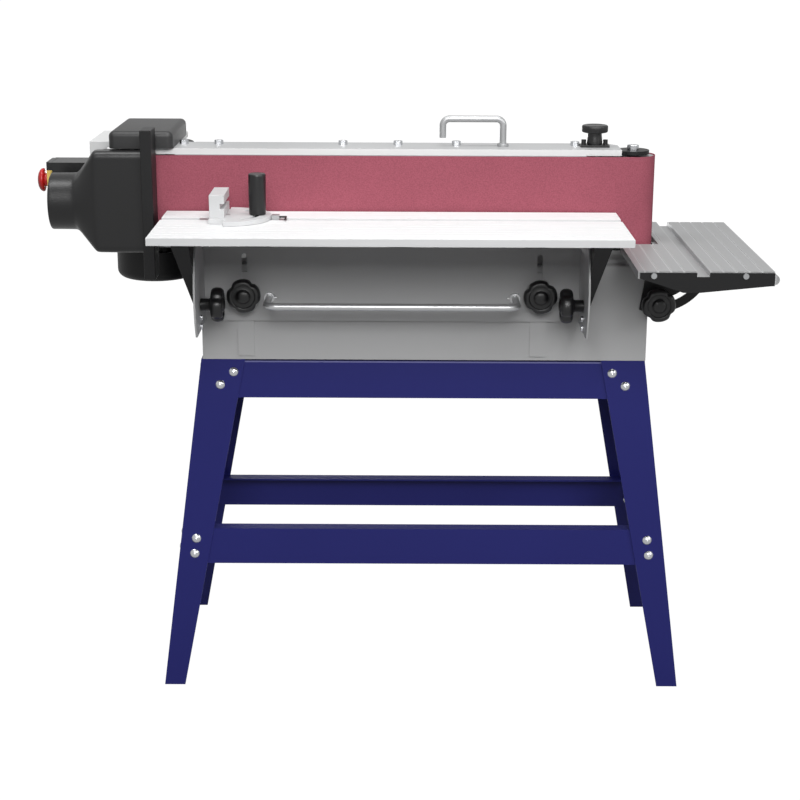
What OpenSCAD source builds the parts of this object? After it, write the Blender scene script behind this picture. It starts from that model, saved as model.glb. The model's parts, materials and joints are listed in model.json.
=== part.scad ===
// Edge sander: an upright abrasive belt over a long tilting table, on a splayed sheet-metal stand.
// X runs along the belt, the working side faces -Y, the floor is at Z = 0.

/* [Stand] */
// Height of the stand
stand_h = 578; // [400:1:800]
// Stand centre along X
stand_x = 60; // [0:1:120]
// Stand centre along Y
stand_y = 106.5; // [60:0.5:150]
// Half length at the top
top_hx = 379; // [300:1:450]
// Half depth at the top
top_hy = 118; // [80:1:160]
// Half length at the feet
foot_hx = 452; // [350:1:520]
// Half depth at the feet
foot_hy = 180.5; // [120:0.5:240]
// Sheet thickness of the legs and rails
sheet = 3; // [2:0.5:5]
// Leg flange width at the top, long side
leg_top_w = 75; // [50:1:100]
// Leg flange width at the top, short side
leg_top_d = 60; // [40:1:90]
// Leg flange width at the feet
leg_foot_w = 36; // [25:1:60]
// Height of an upper rail
rail_h = 67; // [40:1:100]
// Inward flange of an upper rail
rail_flange = 30; // [10:1:45]
// End gap of the rails
rail_gap = 2; // [1:0.5:5]
// Bottom of the lower rails
low_z = 219; // [100:1:350]
// Height of a lower rail
low_h = 62; // [40:1:90]
// Inward flange of a lower rail
low_flange = 22; // [10:1:40]
// Shank radius of a stand bolt
bolt_r = 4; // [3:0.5:6]
// Head radius of a stand bolt
bolt_head_r = 8; // [5:0.5:12]
// Head height of a stand bolt
bolt_head_h = 4.5; // [3:0.5:8]
// Sphere radius of the domed head
bolt_dome_r = 10; // [8:0.5:16]
// Corner radius of a nut
nut_r = 7.5; // [5:0.5:10]
// Height of a nut
nut_h = 6; // [4:0.5:10]
// Upper bolts on the long faces: distances in from the corner
bolt_in = [55, 32];
// Upper bolts: distances below the stand's top
bolt_drop = [22, 44];
// Lower bolts: heights above the lower rail's bottom
bolt_rise = [45, 18];
// Lower bolts: distance in from the corner
low_bolt_in = 26.5; // [18:0.5:32]
// Distance of the upper side bolts in from the corner
side_in = 46; // [36:1:52]
// Distance of the lower side bolts in from the corner
low_side_in = 39; // [32:0.5:42]

/* [Cabinet] */
// Cabinet centre along X
body_x = 62; // [0:1:120]
// Cabinet half length
body_hx = 378; // [300:1:450]
// Cabinet height
body_h = 165; // [100:1:260]
// Cabinet sheet thickness
body_wall = 2.5; // [1.5:0.5:5]
// Seam between two sheets of the cabinet
seam = 0.1; // [0.05:0.05:0.3]
// Radius of the upper edges
body_round = 4; // [3:0.5:12]
// Band kept free below the upper edges
body_band = 12; // [8:1:30]
// Width of a guide strip
strip_w = 28; // [16:1:40]
// Thickness of a guide strip
strip_t = 3; // [2:0.5:6]
// Length of a guide strip
strip_l = 146; // [90:1:160]

/* [Belt and drums] */
// Width of the abrasive belt
belt_w = 150; // [75:1:200]
// Lower edge of the abrasive belt above the stand
belt_z_up = 201; // [120:0.5:281]
// Outer radius of the belt loop at its ends
loop_r = 37; // [25:1:60]
// Thickness of the abrasive belt
belt_t = 1.2; // [0.8:0.1:2]
// Gap between belt and drum in the model
belt_gap = 0.3; // [0.2:0.05:0.6]
// Drive drum axis left of the cabinet
drive_out = 90; // [60:1:130]
// Idler drum axis inside the cabinet's right end
idler_in = 35; // [10:1:70]
// Drum lower face above the belt edge
drum_foot = 2; // [1:0.5:5]
// Drum length
drum_l = 147; // [80:1:170]
// Drive shaft radius
shaft_r = 10; // [6:0.5:15]
// Wide clearance round shafts
clear = 2; // [1:0.5:4]
// Running clearance of shafts and pins
fit = 0.05; // [0.02:0.01:0.1]

/* [Sanding head] */
// Left end of the head frame, from the drive drum axis
frame_x0_off = 56; // [50:1:90]
// Right end of the head frame, from the idler axis
frame_x1_off = -80; // [-120:1:-70]
// Half depth of the head frame
frame_hy = 33.5; // [20:0.5:50]
// Bottom of the head frame above the stand
frame_z0_up = 205; // [123:0.5:287]
// Top of the head frame above the stand
frame_z1_up = 352; // [211:0.5:492]
// Wall of the head frame
frame_wall = 3; // [2:0.5:6]
// Thickness of the platen facing
platen_t = 1.8; // [1:0.1:4]
// Left end of the top cover, from the drive drum axis
cover_x0_off = -35; // [-60:1:-30]
// Right end of the top cover, from the idler axis
cover_x1_off = -22; // [-40:1:-10]
// Front of the top cover
cover_y0 = -32; // [-50:1:-10]
// Rear of the top cover
cover_y1 = 49; // [30:1:90]
// Height of the top cover
cover_h = 10; // [6:0.5:20]
// Wall of the top cover
cover_wall = 2.5; // [1.5:0.5:5]
// Chamfer of the top cover's rear corner along X
cover_cut_x = 16; // [4:1:40]
// Chamfer of the top cover's rear corner along Y
cover_cut_y = 20; // [4:1:40]
// Across-corners radius of a hex head
hex_r = 7.5; // [5:0.5:10]
// Height of a hex head
hex_h = 7; // [4:0.5:9]
// Shank length of a cover bolt
hex_l = 16; // [10:1:30]
// Places of the cover bolts along the head frame
cover_bolt_shares = [0.0133, 0.0993, 0.406, 0.542, 0.686, 0.979];
// Place of the cover bolts along Y
cover_bolt_y = 22; // [0:1:28]
// Rear guard thickness
guard_t = 2; // [1:0.5:4]
// Rear guard left end, from the drive drum axis
guard_x0_off = 80; // [76:1:200]
// Rear guard right end, from the idler axis
guard_x1_off = -25; // [-60:1:-20]
// Rear guard bottom above the stand
guard_z0_up = 207; // [124:0.5:289]
// Base rail left end, from the drive drum axis
base_x0_off = 96; // [92:1:200]
// Base rail right end, from the idler axis
base_x1_off = -3; // [-40:1:10]
// Base rail front
base_y0 = 2; // [0:1:20]
// Base rail rear
base_y1 = 96; // [60:1:140]
// Base rail thickness
base_t = 8; // [4:1:14]
// Places of the posts along the head frame
post_shares = [0.193, 0.548, 0.889];
// Post size along X
post_w = 40; // [20:1:70]
// Post half size along Y
post_y1 = 30; // [20:1:33]
// Drum arm left end, from the drive drum axis
arm_x0_off = -28; // [-34:1:-20]
// Drum arm half depth
arm_hy = 26; // [16:1:33]
// Drum arm lower face below the belt edge
arm_drop = 4.8; // [3:0.1:5]
// Drum arm thickness
arm_t = 4.3; // [3:0.1:4.5]
// Length of the drum arm under the frame
arm_lap = 50; // [20:1:90]
// Upper bearing outer radius
bearing_r = 24; // [16:1:28]
// Upper bearing height
bearing_h = 6.5; // [4:0.5:7]

/* [Drive] */
// Motor axis along Y
motor_y = 120; // [112:1:150]
// Motor body radius
motor_r = 66; // [50:1:72]
// Motor flange radius
motor_flange_r = 69; // [50:1:74]
// Motor flange height
motor_flange_h = 12; // [6:1:20]
// Bottom of the fan cover above the stand
motor_z0_up = 119; // [71:0.5:166]
// Height of the fan cover
fan_h = 52; // [30:1:80]
// Fan cover radius
fan_r = 70; // [50:1:72]
// Rounding of the fan cover's bottom edge
fan_round = 14; // [4:1:24]
// Number of cooling fins
fin_n = 28; // [12:1:48]
// Depth of a cooling fin groove
fin_d = 5; // [2:0.5:8]
// Width of a cooling fin groove
fin_w = 8; // [3:0.5:12]
// Motor plate left end, from the drive drum axis
mplate_x0_off = -98; // [-110:1:-76]
// Motor plate right end, from the drive drum axis
mplate_x1_off = 50; // [40:1:70]
// Motor plate rear
mplate_y1 = 196; // [180:1:220]
// Width of the plate's down-turned front flange
mflange_w = 29; // [15:1:40]
// Depth of the front flange below the plate's top
mflange_h = 28; // [15:1:34]
// Thickness of the front flange
mflange_t = 3; // [2:0.5:5]
// Pulley radius
pulley_r = 20; // [14:0.5:24]
// Pulley height
pulley_h = 16; // [10:1:20]
// Pulley foot above the cover
pulley_lift = 4; // [2:0.5:8]
// Pulley flange height
pulley_rim = 2; // [1:0.5:3]
// Pulley flange overhang
pulley_edge = 2; // [1:0.5:3]
// Motor shaft radius
mshaft_r = 9; // [6:0.5:12]
// Length of the motor shaft inside the motor
mshaft_l = 40; // [20:1:80]
// Drive belt thickness
vbelt_t = 2.6; // [2:0.1:5]
// Drive belt width
vbelt_w = 10; // [6:0.5:14]

/* [Drive belt cap] */
// Cap left end, from the drive drum axis
cap_x0_off = -51; // [-70:1:-40]
// Cap right end, from the drive drum axis
cap_x1_off = 54; // [40:1:62]
// Cap front
cap_y0 = -42; // [-50:1:-34]
// Cap rear
cap_y1 = 151; // [140:1:170]
// Cap height
cap_h = 28; // [24:1:50]
// Cap wall
cap_wall = 3; // [2:0.5:5]
// Rounding of the cap's upper edges
cap_round = 10; // [3:0.5:14]

/* [Idler] */
// Radius of the yoke plate's round end
yoke_r = 27; // [15:1:34]
// Yoke plate thickness
yoke_t = 6.5; // [4:0.5:7]
// Left end of the yoke, from the idler axis
yoke_x0_off = -60; // [-66:1:-50]
// Yoke web thickness
yoke_web = 8; // [5:0.5:14]
// Half depth of the yoke arms
yoke_hy = 22; // [12:1:30]
// Gap between yoke plate and belt edge
yoke_gap = 1.2; // [0.8:0.1:3]
// Lower yoke arm thickness
yoke_low_t = 6; // [4:0.5:10]
// Gap between lower yoke arm and belt edge
yoke_low_gap = 2; // [1:0.5:4]
// Idler axle radius
axle_r = 10; // [6:0.5:14]
// Guide rod radius
rod_r = 7; // [4:0.5:12]
// Guide rod length into the frame
rod_l = 80; // [40:1:140]
// Guide rod heights above the frame bottom
rod_z = [38, 108];
// Axle bolt corner radius
axle_bolt_r = 10; // [7:0.5:10]
// Axle bolt head height
axle_bolt_h = 8; // [5:0.5:12]
// Idler drum end gap above the lower arm
idler_gap = 1.5; // [0.5:0.5:4]

/* [Tension lever] */
// Lever axis along X, from the idler axis
lever_x_off = -215; // [-260:1:-160]
// Lever axis along Y
lever_y = 8; // [0:1:25]
// Lever rod radius
lever_r = 5.5; // [3:0.5:8]
// Lever arm height above the cover
lever_h = 45; // [30:1:80]
// Lever arm length
lever_l = 100; // [50:1:160]
// Length of the down-turned lever end
lever_drop = 31; // [10:1:38]
// Lever bend radius
lever_bend = 11; // [8:0.5:20]
// Lever depth below the cover's top
lever_in = 8; // [4:0.5:9]
// Boss radius
boss_r = 9.5; // [8:0.5:20]
// Boss height
boss_h = 5; // [3:0.5:12]

/* [Tracking knob] */
// Tracking knob axis along X, from the idler axis
track_x_off = -63; // [-100:1:-50]
// Tracking knob axis along Y
track_y = 8; // [0:1:20]
// Tracking knob radius
track_r = 21.5; // [12:0.5:30]
// Tracking knob head height
track_h = 12; // [6:0.5:20]
// Tracking knob foot above the cover
track_lift = 24; // [12:0.5:40]
// Tracking knob neck radius at its top
track_neck = 9; // [5:0.5:12]
// Tracking knob neck radius at its foot
track_foot = 13; // [5:0.5:16]
// Tracking screw radius
track_screw = 5; // [3:0.5:8]
// Half length of the tracking base
track_base_w = 24; // [16:1:40]
// Half depth of the tracking base
track_base_d = 12; // [8:1:20]
// Thickness of the tracking base
track_base_t = 4; // [2:0.5:8]
// Stud distance from the axis
stud_x = 18; // [10:0.5:24]
// Stud radius
stud_r = 4; // [2:0.5:6]
// Stud height
stud_h = 8; // [4:0.5:14]

/* [Dust hood] */
// Hood left end of the straight part, from the drive drum axis
hood_x0_off = -75; // [-100:1:-60]
// Hood right end, from the drive drum axis
hood_x1_off = 8; // [0:1:20]
// Hood front
hood_y0 = -62; // [-90:1:-45]
// Hood rear
hood_y1 = 47; // [40:1:48]
// Hood bottom above the stand
hood_z0_up = 192; // [115:0.5:268]
// Hood top under the cover, above the stand
hood_z1_up = 351.5; // [210:0.5:492]
// Hood lip top in front of the cover, above the stand
hood_lip_up = 360; // [216:0.5:503]
// Hood wall
hood_wall = 3; // [2:0.5:5]
// Right return of the hood's front wall
hood_return = 12; // [6:1:22]
// Port left end, from the drive drum axis
port_x0_off = -155; // [-200:1:-130]
// Start of the hood's taper at the port, from the drive drum axis
port_x1_off = -112; // [-125:1:-95]
// Port outside radius
port_r = 47; // [30:0.5:60]
// Length of the port's seat for a hose
port_seat = 39; // [20:1:60]
// Step down from the seat to the relief behind it
port_step = 0.6; // [0.2:0.1:2]
// Port centre above the stand
port_z_up = 269; // [161:0.5:376]
// Width of the hood's closed top
hood_top_w = 35; // [20:1:36]
// Rounding of the hood's front edges
hood_round = 9; // [3:0.5:16]

/* [Work stop] */
// Work stop width
stop_w = 18.5; // [12:0.5:30]
// Work stop front
stop_y0 = -95; // [-120:1:-70]
// Work stop rear
stop_y1 = -45; // [-60:1:-43]
// Work stop bottom above the stand
stop_z0_up = 155; // [93:0.5:217]
// Work stop top above the stand
stop_z1_up = 398; // [238:0.5:557]
// Work stop sheet
stop_t = 3; // [2:0.5:5]

/* [Switch] */
// Switch box left face, from the drive drum axis
box_x0_off = -166; // [-180:1:-150]
// Switch box right face, from the drive drum axis
box_x1_off = -86; // [-100:1:-80]
// Switch box front
box_y0 = 62; // [60:1:70]
// Switch box rear
box_y1 = 126; // [104:1:138]
// Right end of the switch box tab, from the drive drum axis
tab_x1_off = -34; // [-60:1:-24]
// Left end of the switch box tab, from the drive drum axis
tab_x0_off = -106; // [-112:1:-95]
// Half height of the switch box tab
tab_h = 20; // [10:1:30]
// Switch box bottom above the stand
box_z0_up = 237; // [142:0.5:331]
// Switch box top above the stand
box_z1_up = 324; // [194:0.5:453]
// Margin of the button recess
recess_edge = 12; // [6:1:20]
// Depth of the button recess
recess_d = 12; // [6:1:20]
// Lid thickness
lid_t = 10; // [6:0.5:16]
// Gap between lid and box
lid_gap = 0.5; // [0.3:0.1:1]
// Lid margin to the box edges
lid_edge = 5; // [2:0.5:10]
// Hinge barrel radius
barrel_r = 2.6; // [2:0.1:5]
// Hinge pin radius
hinge_r = 1.2; // [0.8:0.1:2.5]
// Hinge ear width
ear_w = 4; // [2:0.5:6]
// Mushroom radius
mush_r = 20; // [14:0.5:30]
// Mushroom stem radius
mush_stem_r = 11; // [6:0.5:16]
// Mushroom head depth
mush_h = 12; // [8:0.5:20]
// Mushroom dome radius
mush_dome = 34; // [22:1:60]
// Mushroom centre above the stand
mush_z_up = 290; // [174:0.5:406]
// Button radius
button_r = 8; // [5:0.5:11]
// Button height above the recess floor
button_h = 8; // [4:0.5:10]
// Button guide length behind the floor
button_in = 9; // [4:0.5:20]
// Button guide step
button_step = 2; // [1:0.5:4]
// Button travel
button_travel = 5; // [2:0.5:6]
// Button distance from the box centre
button_z = 18; // [10:0.5:24]
// Button clearance in its hole
button_fit = 0.3; // [0.2:0.05:0.6]
// Overall left end of the machine, from the drive drum axis
left_end_off = -197; // [-230:1:-180]

/* [Main table] */
// Table centre from the cabinet centre
table_shift = -56.5; // [-100:0.5:20]
// Table half length short of the cabinet's
table_short = 7.5; // [0:0.5:60]
// Gap between table and belt
table_gap = 4; // [2:0.5:10]
// Table depth
table_d = 246; // [150:1:350]
// Table top above the stand
table_z_up = 260; // [156:0.5:364]
// Table edge thickness
table_t = 12; // [8:0.5:25]
// Table skin thickness
table_skin = 5; // [3:0.5:10]
// Mitre slot centre behind the table's front edge
slot_in = 170; // [60:1:200]
// Mitre slot width
slot_w = 19.4; // [12:0.1:26]
// Mitre slot depth
slot_d = 8.4; // [5:0.1:12]
// Groove pitch on the table
groove_p = 20; // [8:0.5:40]
// Groove width
groove_w = 1.6; // [0.8:0.1:4]
// Groove depth
groove_d = 0.8; // [0.3:0.1:2]
// Solid edge width of the table
edge_w = 24; // [10:1:50]
// Half width of the solid part round the slot
rib_hw = 18; // [12:1:40]
// Wing half distance short of the cabinet's half length
wing_short = 61; // [40:1:120]
// Carrier centre from the cabinet centre
wing_shift = -55; // [-100:1:20]
// Carrier sheet thickness
wing_t = 3; // [2:0.5:5]
// Gap between carrier and guide strips
slide_gap = 0.3; // [0.2:0.05:0.6]
// Carrier bottom above the stand
panel_z0_up = 69; // [41:0.5:96]
// Carrier panel top above the stand
panel_z1_up = 195.5; // [117:0.5:273]
// Wing top before the belt, above the stand
wing_z1_up = 228; // [136:0.5:319]
// Distance of the raised wing part from the panel
wing_back = 28; // [26:1:60]
// Wing front edge radius
wing_r = 124; // [80:1:200]
// Wing circle centre before the panel
wing_cy = 18; // [0:1:60]
// Wing circle centre above the stand
wing_cz_up = 138; // [82:0.5:193]
// Lock knob half distance short of the cabinet's half length
lock_short = 130; // [100:0.5:200]
// Lock knobs above the stand
lock_z_up = 118; // [70:0.5:165]
// Lock slot width
lock_slot = 8.8; // [8.2:0.1:12]
// Table travel
lift = 60; // [30:1:80]
// Spare slot length at both ends
slot_spare = 2; // [0.5:0.5:6]
// Lift bar radius
bar_r = 6; // [4:0.5:10]
// Lift bar half length short of the cabinet's
bar_short = 171; // [150:1:240]
// Lift bar reach before the panel
bar_out = 74; // [40:1:120]
// Lift bar above the stand
bar_z_up = 110; // [66:0.5:154]
// Lift bar bend radius
bar_bend = 16; // [10:1:40]
// Lift bar collar radius
collar_r = 9; // [7:0.5:14]
// Lift bar collar length
collar_l = 6; // [3:0.5:12]
// Cross pin radius
pin_r = 2; // [1:0.5:4]
// Cross pin reach
pin_l = 13; // [8:0.5:20]
// Tilt axis before the panel
tilt_out = 72; // [45:1:110]
// Tilt axis above the stand
tilt_z_up = 113; // [67:0.5:158]
// Gap between wing and arm
wing_gap = 0.4; // [0.3:0.05:1]
// Arm plate thickness
tarm_t = 5; // [3:0.5:8]
// Arm width under the table
tarm_w = 32; // [16:1:60]
// Arm boss radius
tarm_boss = 15; // [9:0.5:24]
// Arm rear end before the panel at the table
tarm_rear = 22; // [5:1:60]
// Arm front end before the panel at the table
tarm_front = 190; // [100:1:230]
// Arm flange thickness
tarm_flange = 5; // [3:0.5:9]
// Stop bolt heights below the tilt axis
stop_bolt_dz = [22, 37];
// Stop bolt radius
stop_bolt_r = 2.5; // [1.5:0.5:4]
// Stop bolt head radius
stop_head_r = 5; // [3:0.5:8]
// Stop bolt head height
stop_head_h = 3.5; // [2:0.5:6]

/* [Star knob] */
// Knob radius
knob_r = 28.5; // [18:0.5:36]
// Knob disc height
knob_h = 20; // [8:0.5:24]
// Knob hub radius
hub_r = 10; // [6:0.5:14]
// Knob hub height
hub_h = 18; // [4:0.5:24]
// Knob cap radius
dome_r = 12; // [8:0.5:18]
// Knob cap height
dome_h = 3; // [1:0.5:8]
// Knob notch radius
notch_r = 9; // [4:0.5:14]
// Knob notch centre beyond the rim
notch_out = 4; // [0:0.5:9]
// Knob screw radius
screw_r = 4; // [3:0.5:6]
// Knob turn about its axis at rest
knob_turn = 10; // [0:1:90]

/* [Mitre gauge] */
// Gauge pivot from the table's left end
gauge_in = 107; // [60:1:400]
// Gauge bar left of the pivot
bar_left = 44; // [20:1:80]
// Gauge bar right of the pivot
bar_right = 96; // [80:1:160]
// Gauge bar side clearance
bar_fit = 0.3; // [0.2:0.05:0.6]
// Protractor radius
prot_r = 71; // [40:1:72]
// Protractor thickness
prot_t = 7; // [4:0.5:12]
// Protractor edge left of the pivot
prot_left = 25; // [10:1:40]
// Protractor half depth at its straight edge
prot_hy = 50; // [30:1:66]
// Fence thickness
fence_t = 24; // [12:1:40]
// Fence height
fence_h = 36; // [20:1:60]
// Fence front end before the pivot
fence_y0 = 34; // [20:1:60]
// Fence rear end behind the pivot
fence_y1 = 50; // [20:1:60]
// Fence slot height
fence_slot = 8; // [4:0.5:14]
// Fence slot depth
fence_slot_d = 7; // [3:0.5:14]
// Clamp handle distance from the pivot
clamp_x = 49; // [30:1:60]
// Clamp handle radius
clamp_r = 14; // [8:0.5:20]
// Clamp handle length
clamp_l = 66; // [30:1:90]
// Clamp screw radius
clamp_screw = 4; // [2:0.5:6]
// Half angle of the protractor slot
swing = 56; // [20:1:62]
// Pivot pin radius
pivot_r = 5; // [3:0.5:8]
// Gap between moving plates
plate_gap = 0.4; // [0.3:0.1:1]
// Pointer length
pointer_l = 13; // [6:0.5:24]
// Pointer half width
pointer_hw = 6; // [3:0.5:12]
// Bent rod radius
wire_r = 1.5; // [1:0.5:3]
// Bent rod reach
wire_l = 14; // [6:0.5:30]
// Bent rod side length
wire_s = 22; // [8:0.5:40]

/* [End table] */
// End table inner edge, from the idler axis
end_x0_off = -20; // [-24:1:-5]
// End table outer edge before the lip, from the idler axis
end_x1_off = 190; // [120:1:260]
// End table front
end_y0 = -265; // [-350:1:-150]
// End table rear
end_y1 = 169; // [100:1:250]
// End table top above the stand
end_z_up = 208; // [124:0.5:291]
// End table thickness
end_t = 12; // [8:0.5:20]
// Lip radius
lip_r = 8; // [4:0.5:12]
// End slot centre from the inner edge
end_slot_x = 100; // [60:1:160]
// End slot depth
end_slot_d = 8; // [4:0.5:10]
// Groove pitch on the end table
end_groove_p = 20; // [8:0.5:40]
// Number of grooves on the end table
end_groove_n = 10; // [4:1:20]
// Clearance of the cut-out round the belt
notch_gap = 6; // [4:0.5:15]
// End plate thickness
eplate_t = 3; // [2:0.5:6]
// End plate top below the table top
eplate_top = 2; // [1:0.5:5]
// End plate outline: distances from the inner edge
eplate_in = [3, 44, 70, 96, 206];
// End plate outline: depths below the table top
eplate_down = [11, 24, 33, 33, 22];
// First groove's place in its pitch
groove_start_share = 0.5; // [0.2:0.05:0.8]
// Lip centre below the table top
lip_d = 13; // [8:0.5:16]
// End tilt axis right of the cabinet
etilt_out = 13; // [13:0.5:30]
// End tilt axis below the table top
etilt_d = 29; // [20:1:60]
// Slot radius of the quadrant
quad_r = 74; // [40:1:100]
// Outer radius of the quadrant
quad_out = 93; // [60:1:120]
// Slot half width of the quadrant
quad_slot = 4.6; // [4.2:0.1:7]
// Quadrant thickness
quad_t = 5; // [3:0.5:8]
// Quadrant reach over the tilt axis to the right
quad_w = 58; // [30:1:90]
// Quadrant reach to the left at its top
quad_left = 6; // [4:0.5:8]
// Quadrant reach to the left at the tilt axis
quad_back = 14; // [10:0.5:16]
// Radius of the rear ear
ear_r = 12; // [8:0.5:13]
// Gap between quadrant and bracket
quad_gap = 0.5; // [0.3:0.1:1]
// Front bracket face
ebr_y0 = -11.5; // [-20:0.5:0]
// Rear bracket face
ebr_y1 = 150; // [100:1:160]
// Bracket thickness
ebr_t = 5; // [3:0.5:8]
// Bracket width
ebr_w = 26; // [26:1:50]
// Radius of a bracket's round top
ebr_up = 13; // [8:0.5:13]
// Bracket depth below the stud
ebr_down = 14; // [8:1:30]
// Bracket wall plate length
ebr_leg = 40; // [20:1:70]
// Tilt pin radius
etilt_r = 5; // [3:0.5:8]
// Screw head radius of the end plates
ehead_r = 4.5; // [2:0.5:8]
// Screw head height of the end plates
ehead_h = 3; // [2:0.5:6]
// Screw radius of the end plates
escrew_r = 2.5; // [1.5:0.5:4]
// Screw length of the end plates
escrew_l = 14; // [6:1:30]
// Screw places from the inner edge
escrew_x = [24, 165];
// Screw depth below the table top
escrew_z = 6.5; // [4:0.5:9]

/* [Hidden] */
$fn = 64;
// Overrun of every cut
over = 2;
function out_x(z) = top_hx + (foot_hx - top_hx) * (stand_h - z) / stand_h;
function out_y(z) = top_hy + (foot_hy - top_hy) * (stand_h - z) / stand_h;
rail_top_hx = top_hx - sheet - rail_gap;
rail_top_hy = top_hy - 2 * sheet - rail_flange - rail_gap;
low_hx = out_x(low_z + low_h) - sheet - rail_gap;
low_hy = out_y(low_z + low_h) - 2 * sheet - low_flange - rail_gap;
bolt_a = [top_hx - bolt_in[0], stand_h - bolt_drop[0]];
bolt_b = [top_hx - bolt_in[1], stand_h - bolt_drop[1]];
bolt_c = [out_x(low_z + bolt_rise[0]) - low_bolt_in, low_z + bolt_rise[0]];
bolt_d = [out_x(low_z + bolt_rise[1]) - low_bolt_in, low_z + bolt_rise[1]];
side_bolt_top = top_hy - side_in;
belt_z = stand_h + belt_z_up;
frame_z0 = stand_h + frame_z0_up;
frame_z1 = stand_h + frame_z1_up;
guard_z0 = stand_h + guard_z0_up;
motor_z0 = stand_h + motor_z0_up;
hood_z0 = stand_h + hood_z0_up;
hood_z1 = stand_h + hood_z1_up;
hood_lip = stand_h + hood_lip_up;
port_z = stand_h + port_z_up;
stop_z0 = stand_h + stop_z0_up;
stop_z1 = stand_h + stop_z1_up;
box_z0 = stand_h + box_z0_up;
box_z1 = stand_h + box_z1_up;
mush_z = stand_h + mush_z_up;
table_z = stand_h + table_z_up;
panel_z0 = stand_h + panel_z0_up;
panel_z1 = stand_h + panel_z1_up;
wing_z1 = stand_h + wing_z1_up;
wing_cz = stand_h + wing_cz_up;
lock_z = stand_h + lock_z_up;
bar_z = stand_h + bar_z_up;
tilt_z = stand_h + tilt_z_up;
end_z = stand_h + end_z_up;
drive_x = body_x - body_hx - drive_out;
idler_x = body_x + body_hx - idler_in;
frame_x0 = drive_x + frame_x0_off;
cover_x0 = drive_x + cover_x0_off;
guard_x0 = drive_x + guard_x0_off;
base_x0 = drive_x + base_x0_off;
arm_x0 = drive_x + arm_x0_off;
mplate_x0 = drive_x + mplate_x0_off;
mplate_x1 = drive_x + mplate_x1_off;
cap_x0 = drive_x + cap_x0_off;
cap_x1 = drive_x + cap_x1_off;
hood_x0 = drive_x + hood_x0_off;
hood_x1 = drive_x + hood_x1_off;
port_x0 = drive_x + port_x0_off;
port_x1 = drive_x + port_x1_off;
box_x0 = drive_x + box_x0_off;
box_x1 = drive_x + box_x1_off;
tab_x0 = drive_x + tab_x0_off;
tab_x1 = drive_x + tab_x1_off;
left_end = drive_x + left_end_off;
frame_x1 = idler_x + frame_x1_off;
cover_x1 = idler_x + cover_x1_off;
guard_x1 = idler_x + guard_x1_off;
base_x1 = idler_x + base_x1_off;
yoke_x0 = idler_x + yoke_x0_off;
track_x = idler_x + track_x_off;
lever_x = idler_x + lever_x_off;
end_x0 = idler_x + end_x0_off;
end_x1 = idler_x + end_x1_off;
stop_x0 = hood_x1;
stop_x1 = stop_x0 + stop_w;
table_x = body_x + table_shift;
table_hx = body_hx - table_short;
wing_x = body_x + wing_shift;
wing_hx = body_hx - wing_short;
lock_hx = body_hx - lock_short;
bar_hx = body_hx - bar_short;
gauge_x = table_x - table_hx + gauge_in;
etilt_x = body_x + body_hx + etilt_out;
cover_bolt_x = [for (k = cover_bolt_shares) frame_x0 + k * (frame_x1 - frame_x0)];
post_x = [for (k = post_shares) frame_x0 + k * (frame_x1 - frame_x0)];
splay_x = atan((foot_hx - top_hx) / stand_h);
splay_y = atan((foot_hy - top_hy) / stand_h);
body_z1 = stand_h + body_h;
wrap_hx = body_hx - body_wall - seam;
front = stand_y - top_hy;
rear = stand_y + top_hy;
strip_y = front - strip_t;
panel_y1 = strip_y - slide_gap;
panel_y = panel_y1 - wing_t;
belt_z1 = belt_z + belt_w;
inner_r = loop_r - belt_t;
drum_r = inner_r - belt_gap;
cover_z1 = frame_z1 + cover_h;
pulley_z = cover_z1 + pulley_lift;
table_y1 = -loop_r - table_gap;
table_y0 = table_y1 - table_d;
slot_y = table_y0 + slot_in;
tilt_y = panel_y - tilt_out;
etilt_z = end_z - etilt_d;
bar_y = panel_y - bar_out;
yoke_z = belt_z1 + yoke_gap;
yoke_low_z = belt_z - yoke_low_gap;
box_cy = (box_y0 + box_y1) / 2;
box_cz = (box_z0 + box_z1) / 2;
lid_x = box_x0 - lid_gap;
hinge_x = lid_x - barrel_r;
hinge_z = box_z1 - barrel_r;
wing_in = wing_hx - wing_t / 2;
wing_outer = wing_hx + wing_t / 2;
gauge_z = table_z + plate_gap;

// A plan or profile drawn in Y and Z, pushed along +X
module along_x(l) { rotate([90, 0, 90]) linear_extrude(l) children(); }

// A profile drawn in X and Z, pushed along +Y
module along_y(l) { translate([0, l, 0]) rotate([90, 0, 0]) linear_extrude(l) children(); }

module xcyl(r, l) { rotate([0, 90, 0]) cylinder(r = r, h = l); }

module ycyl(r, l) { rotate([-90, 0, 0]) cylinder(r = r, h = l); }

module block(x0, x1, y0, y1, z0, z1) { translate([x0, y0, z0]) cube([x1 - x0, y1 - y0, z1 - z0]); }

// Rectangle whose two upper corners are round
module arch(a0, a1, b0, b1, r) {
  translate([a0, b0]) square([a1 - a0, b1 - b0 - r]);
  translate([a0 + r, b0]) square([a1 - a0 - 2 * r, b1 - b0]);
  translate([a0 + r, b1 - r]) circle(r);
  translate([a1 - r, b1 - r]) circle(r);
}

// Ring with straight sides: the path of a belt over two equal drums
module loop2(d, r) {
  circle(r);
  translate([d, 0]) circle(r);
  translate([0, -r]) square([d, 2 * r]);
}

// Slanted sheet between two heights, as a profile against the outer face
module slant_y(z0, z1, k) {
  polygon([[out_y(z0) - k, z0], [out_y(z0) - k - sheet, z0], [out_y(z1) - k - sheet, z1], [out_y(z1)
      - k, z1]]);
}

module slant_x(z0, z1, k) {
  polygon([[out_x(z0) - k, z0], [out_x(z0) - k - sheet, z0], [out_x(z1) - k - sheet, z1], [out_x(z1)
      - k, z1]]);
}

module on_long_face(p) { translate([p[0], out_y(p[1]), p[1]]) rotate([splay_y - 90, 0, 0]) children(); }

module on_short_face(p) { translate([out_x(p[1]), p[0], p[1]]) rotate([0, 90 - splay_x, 0]) children(); }

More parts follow.
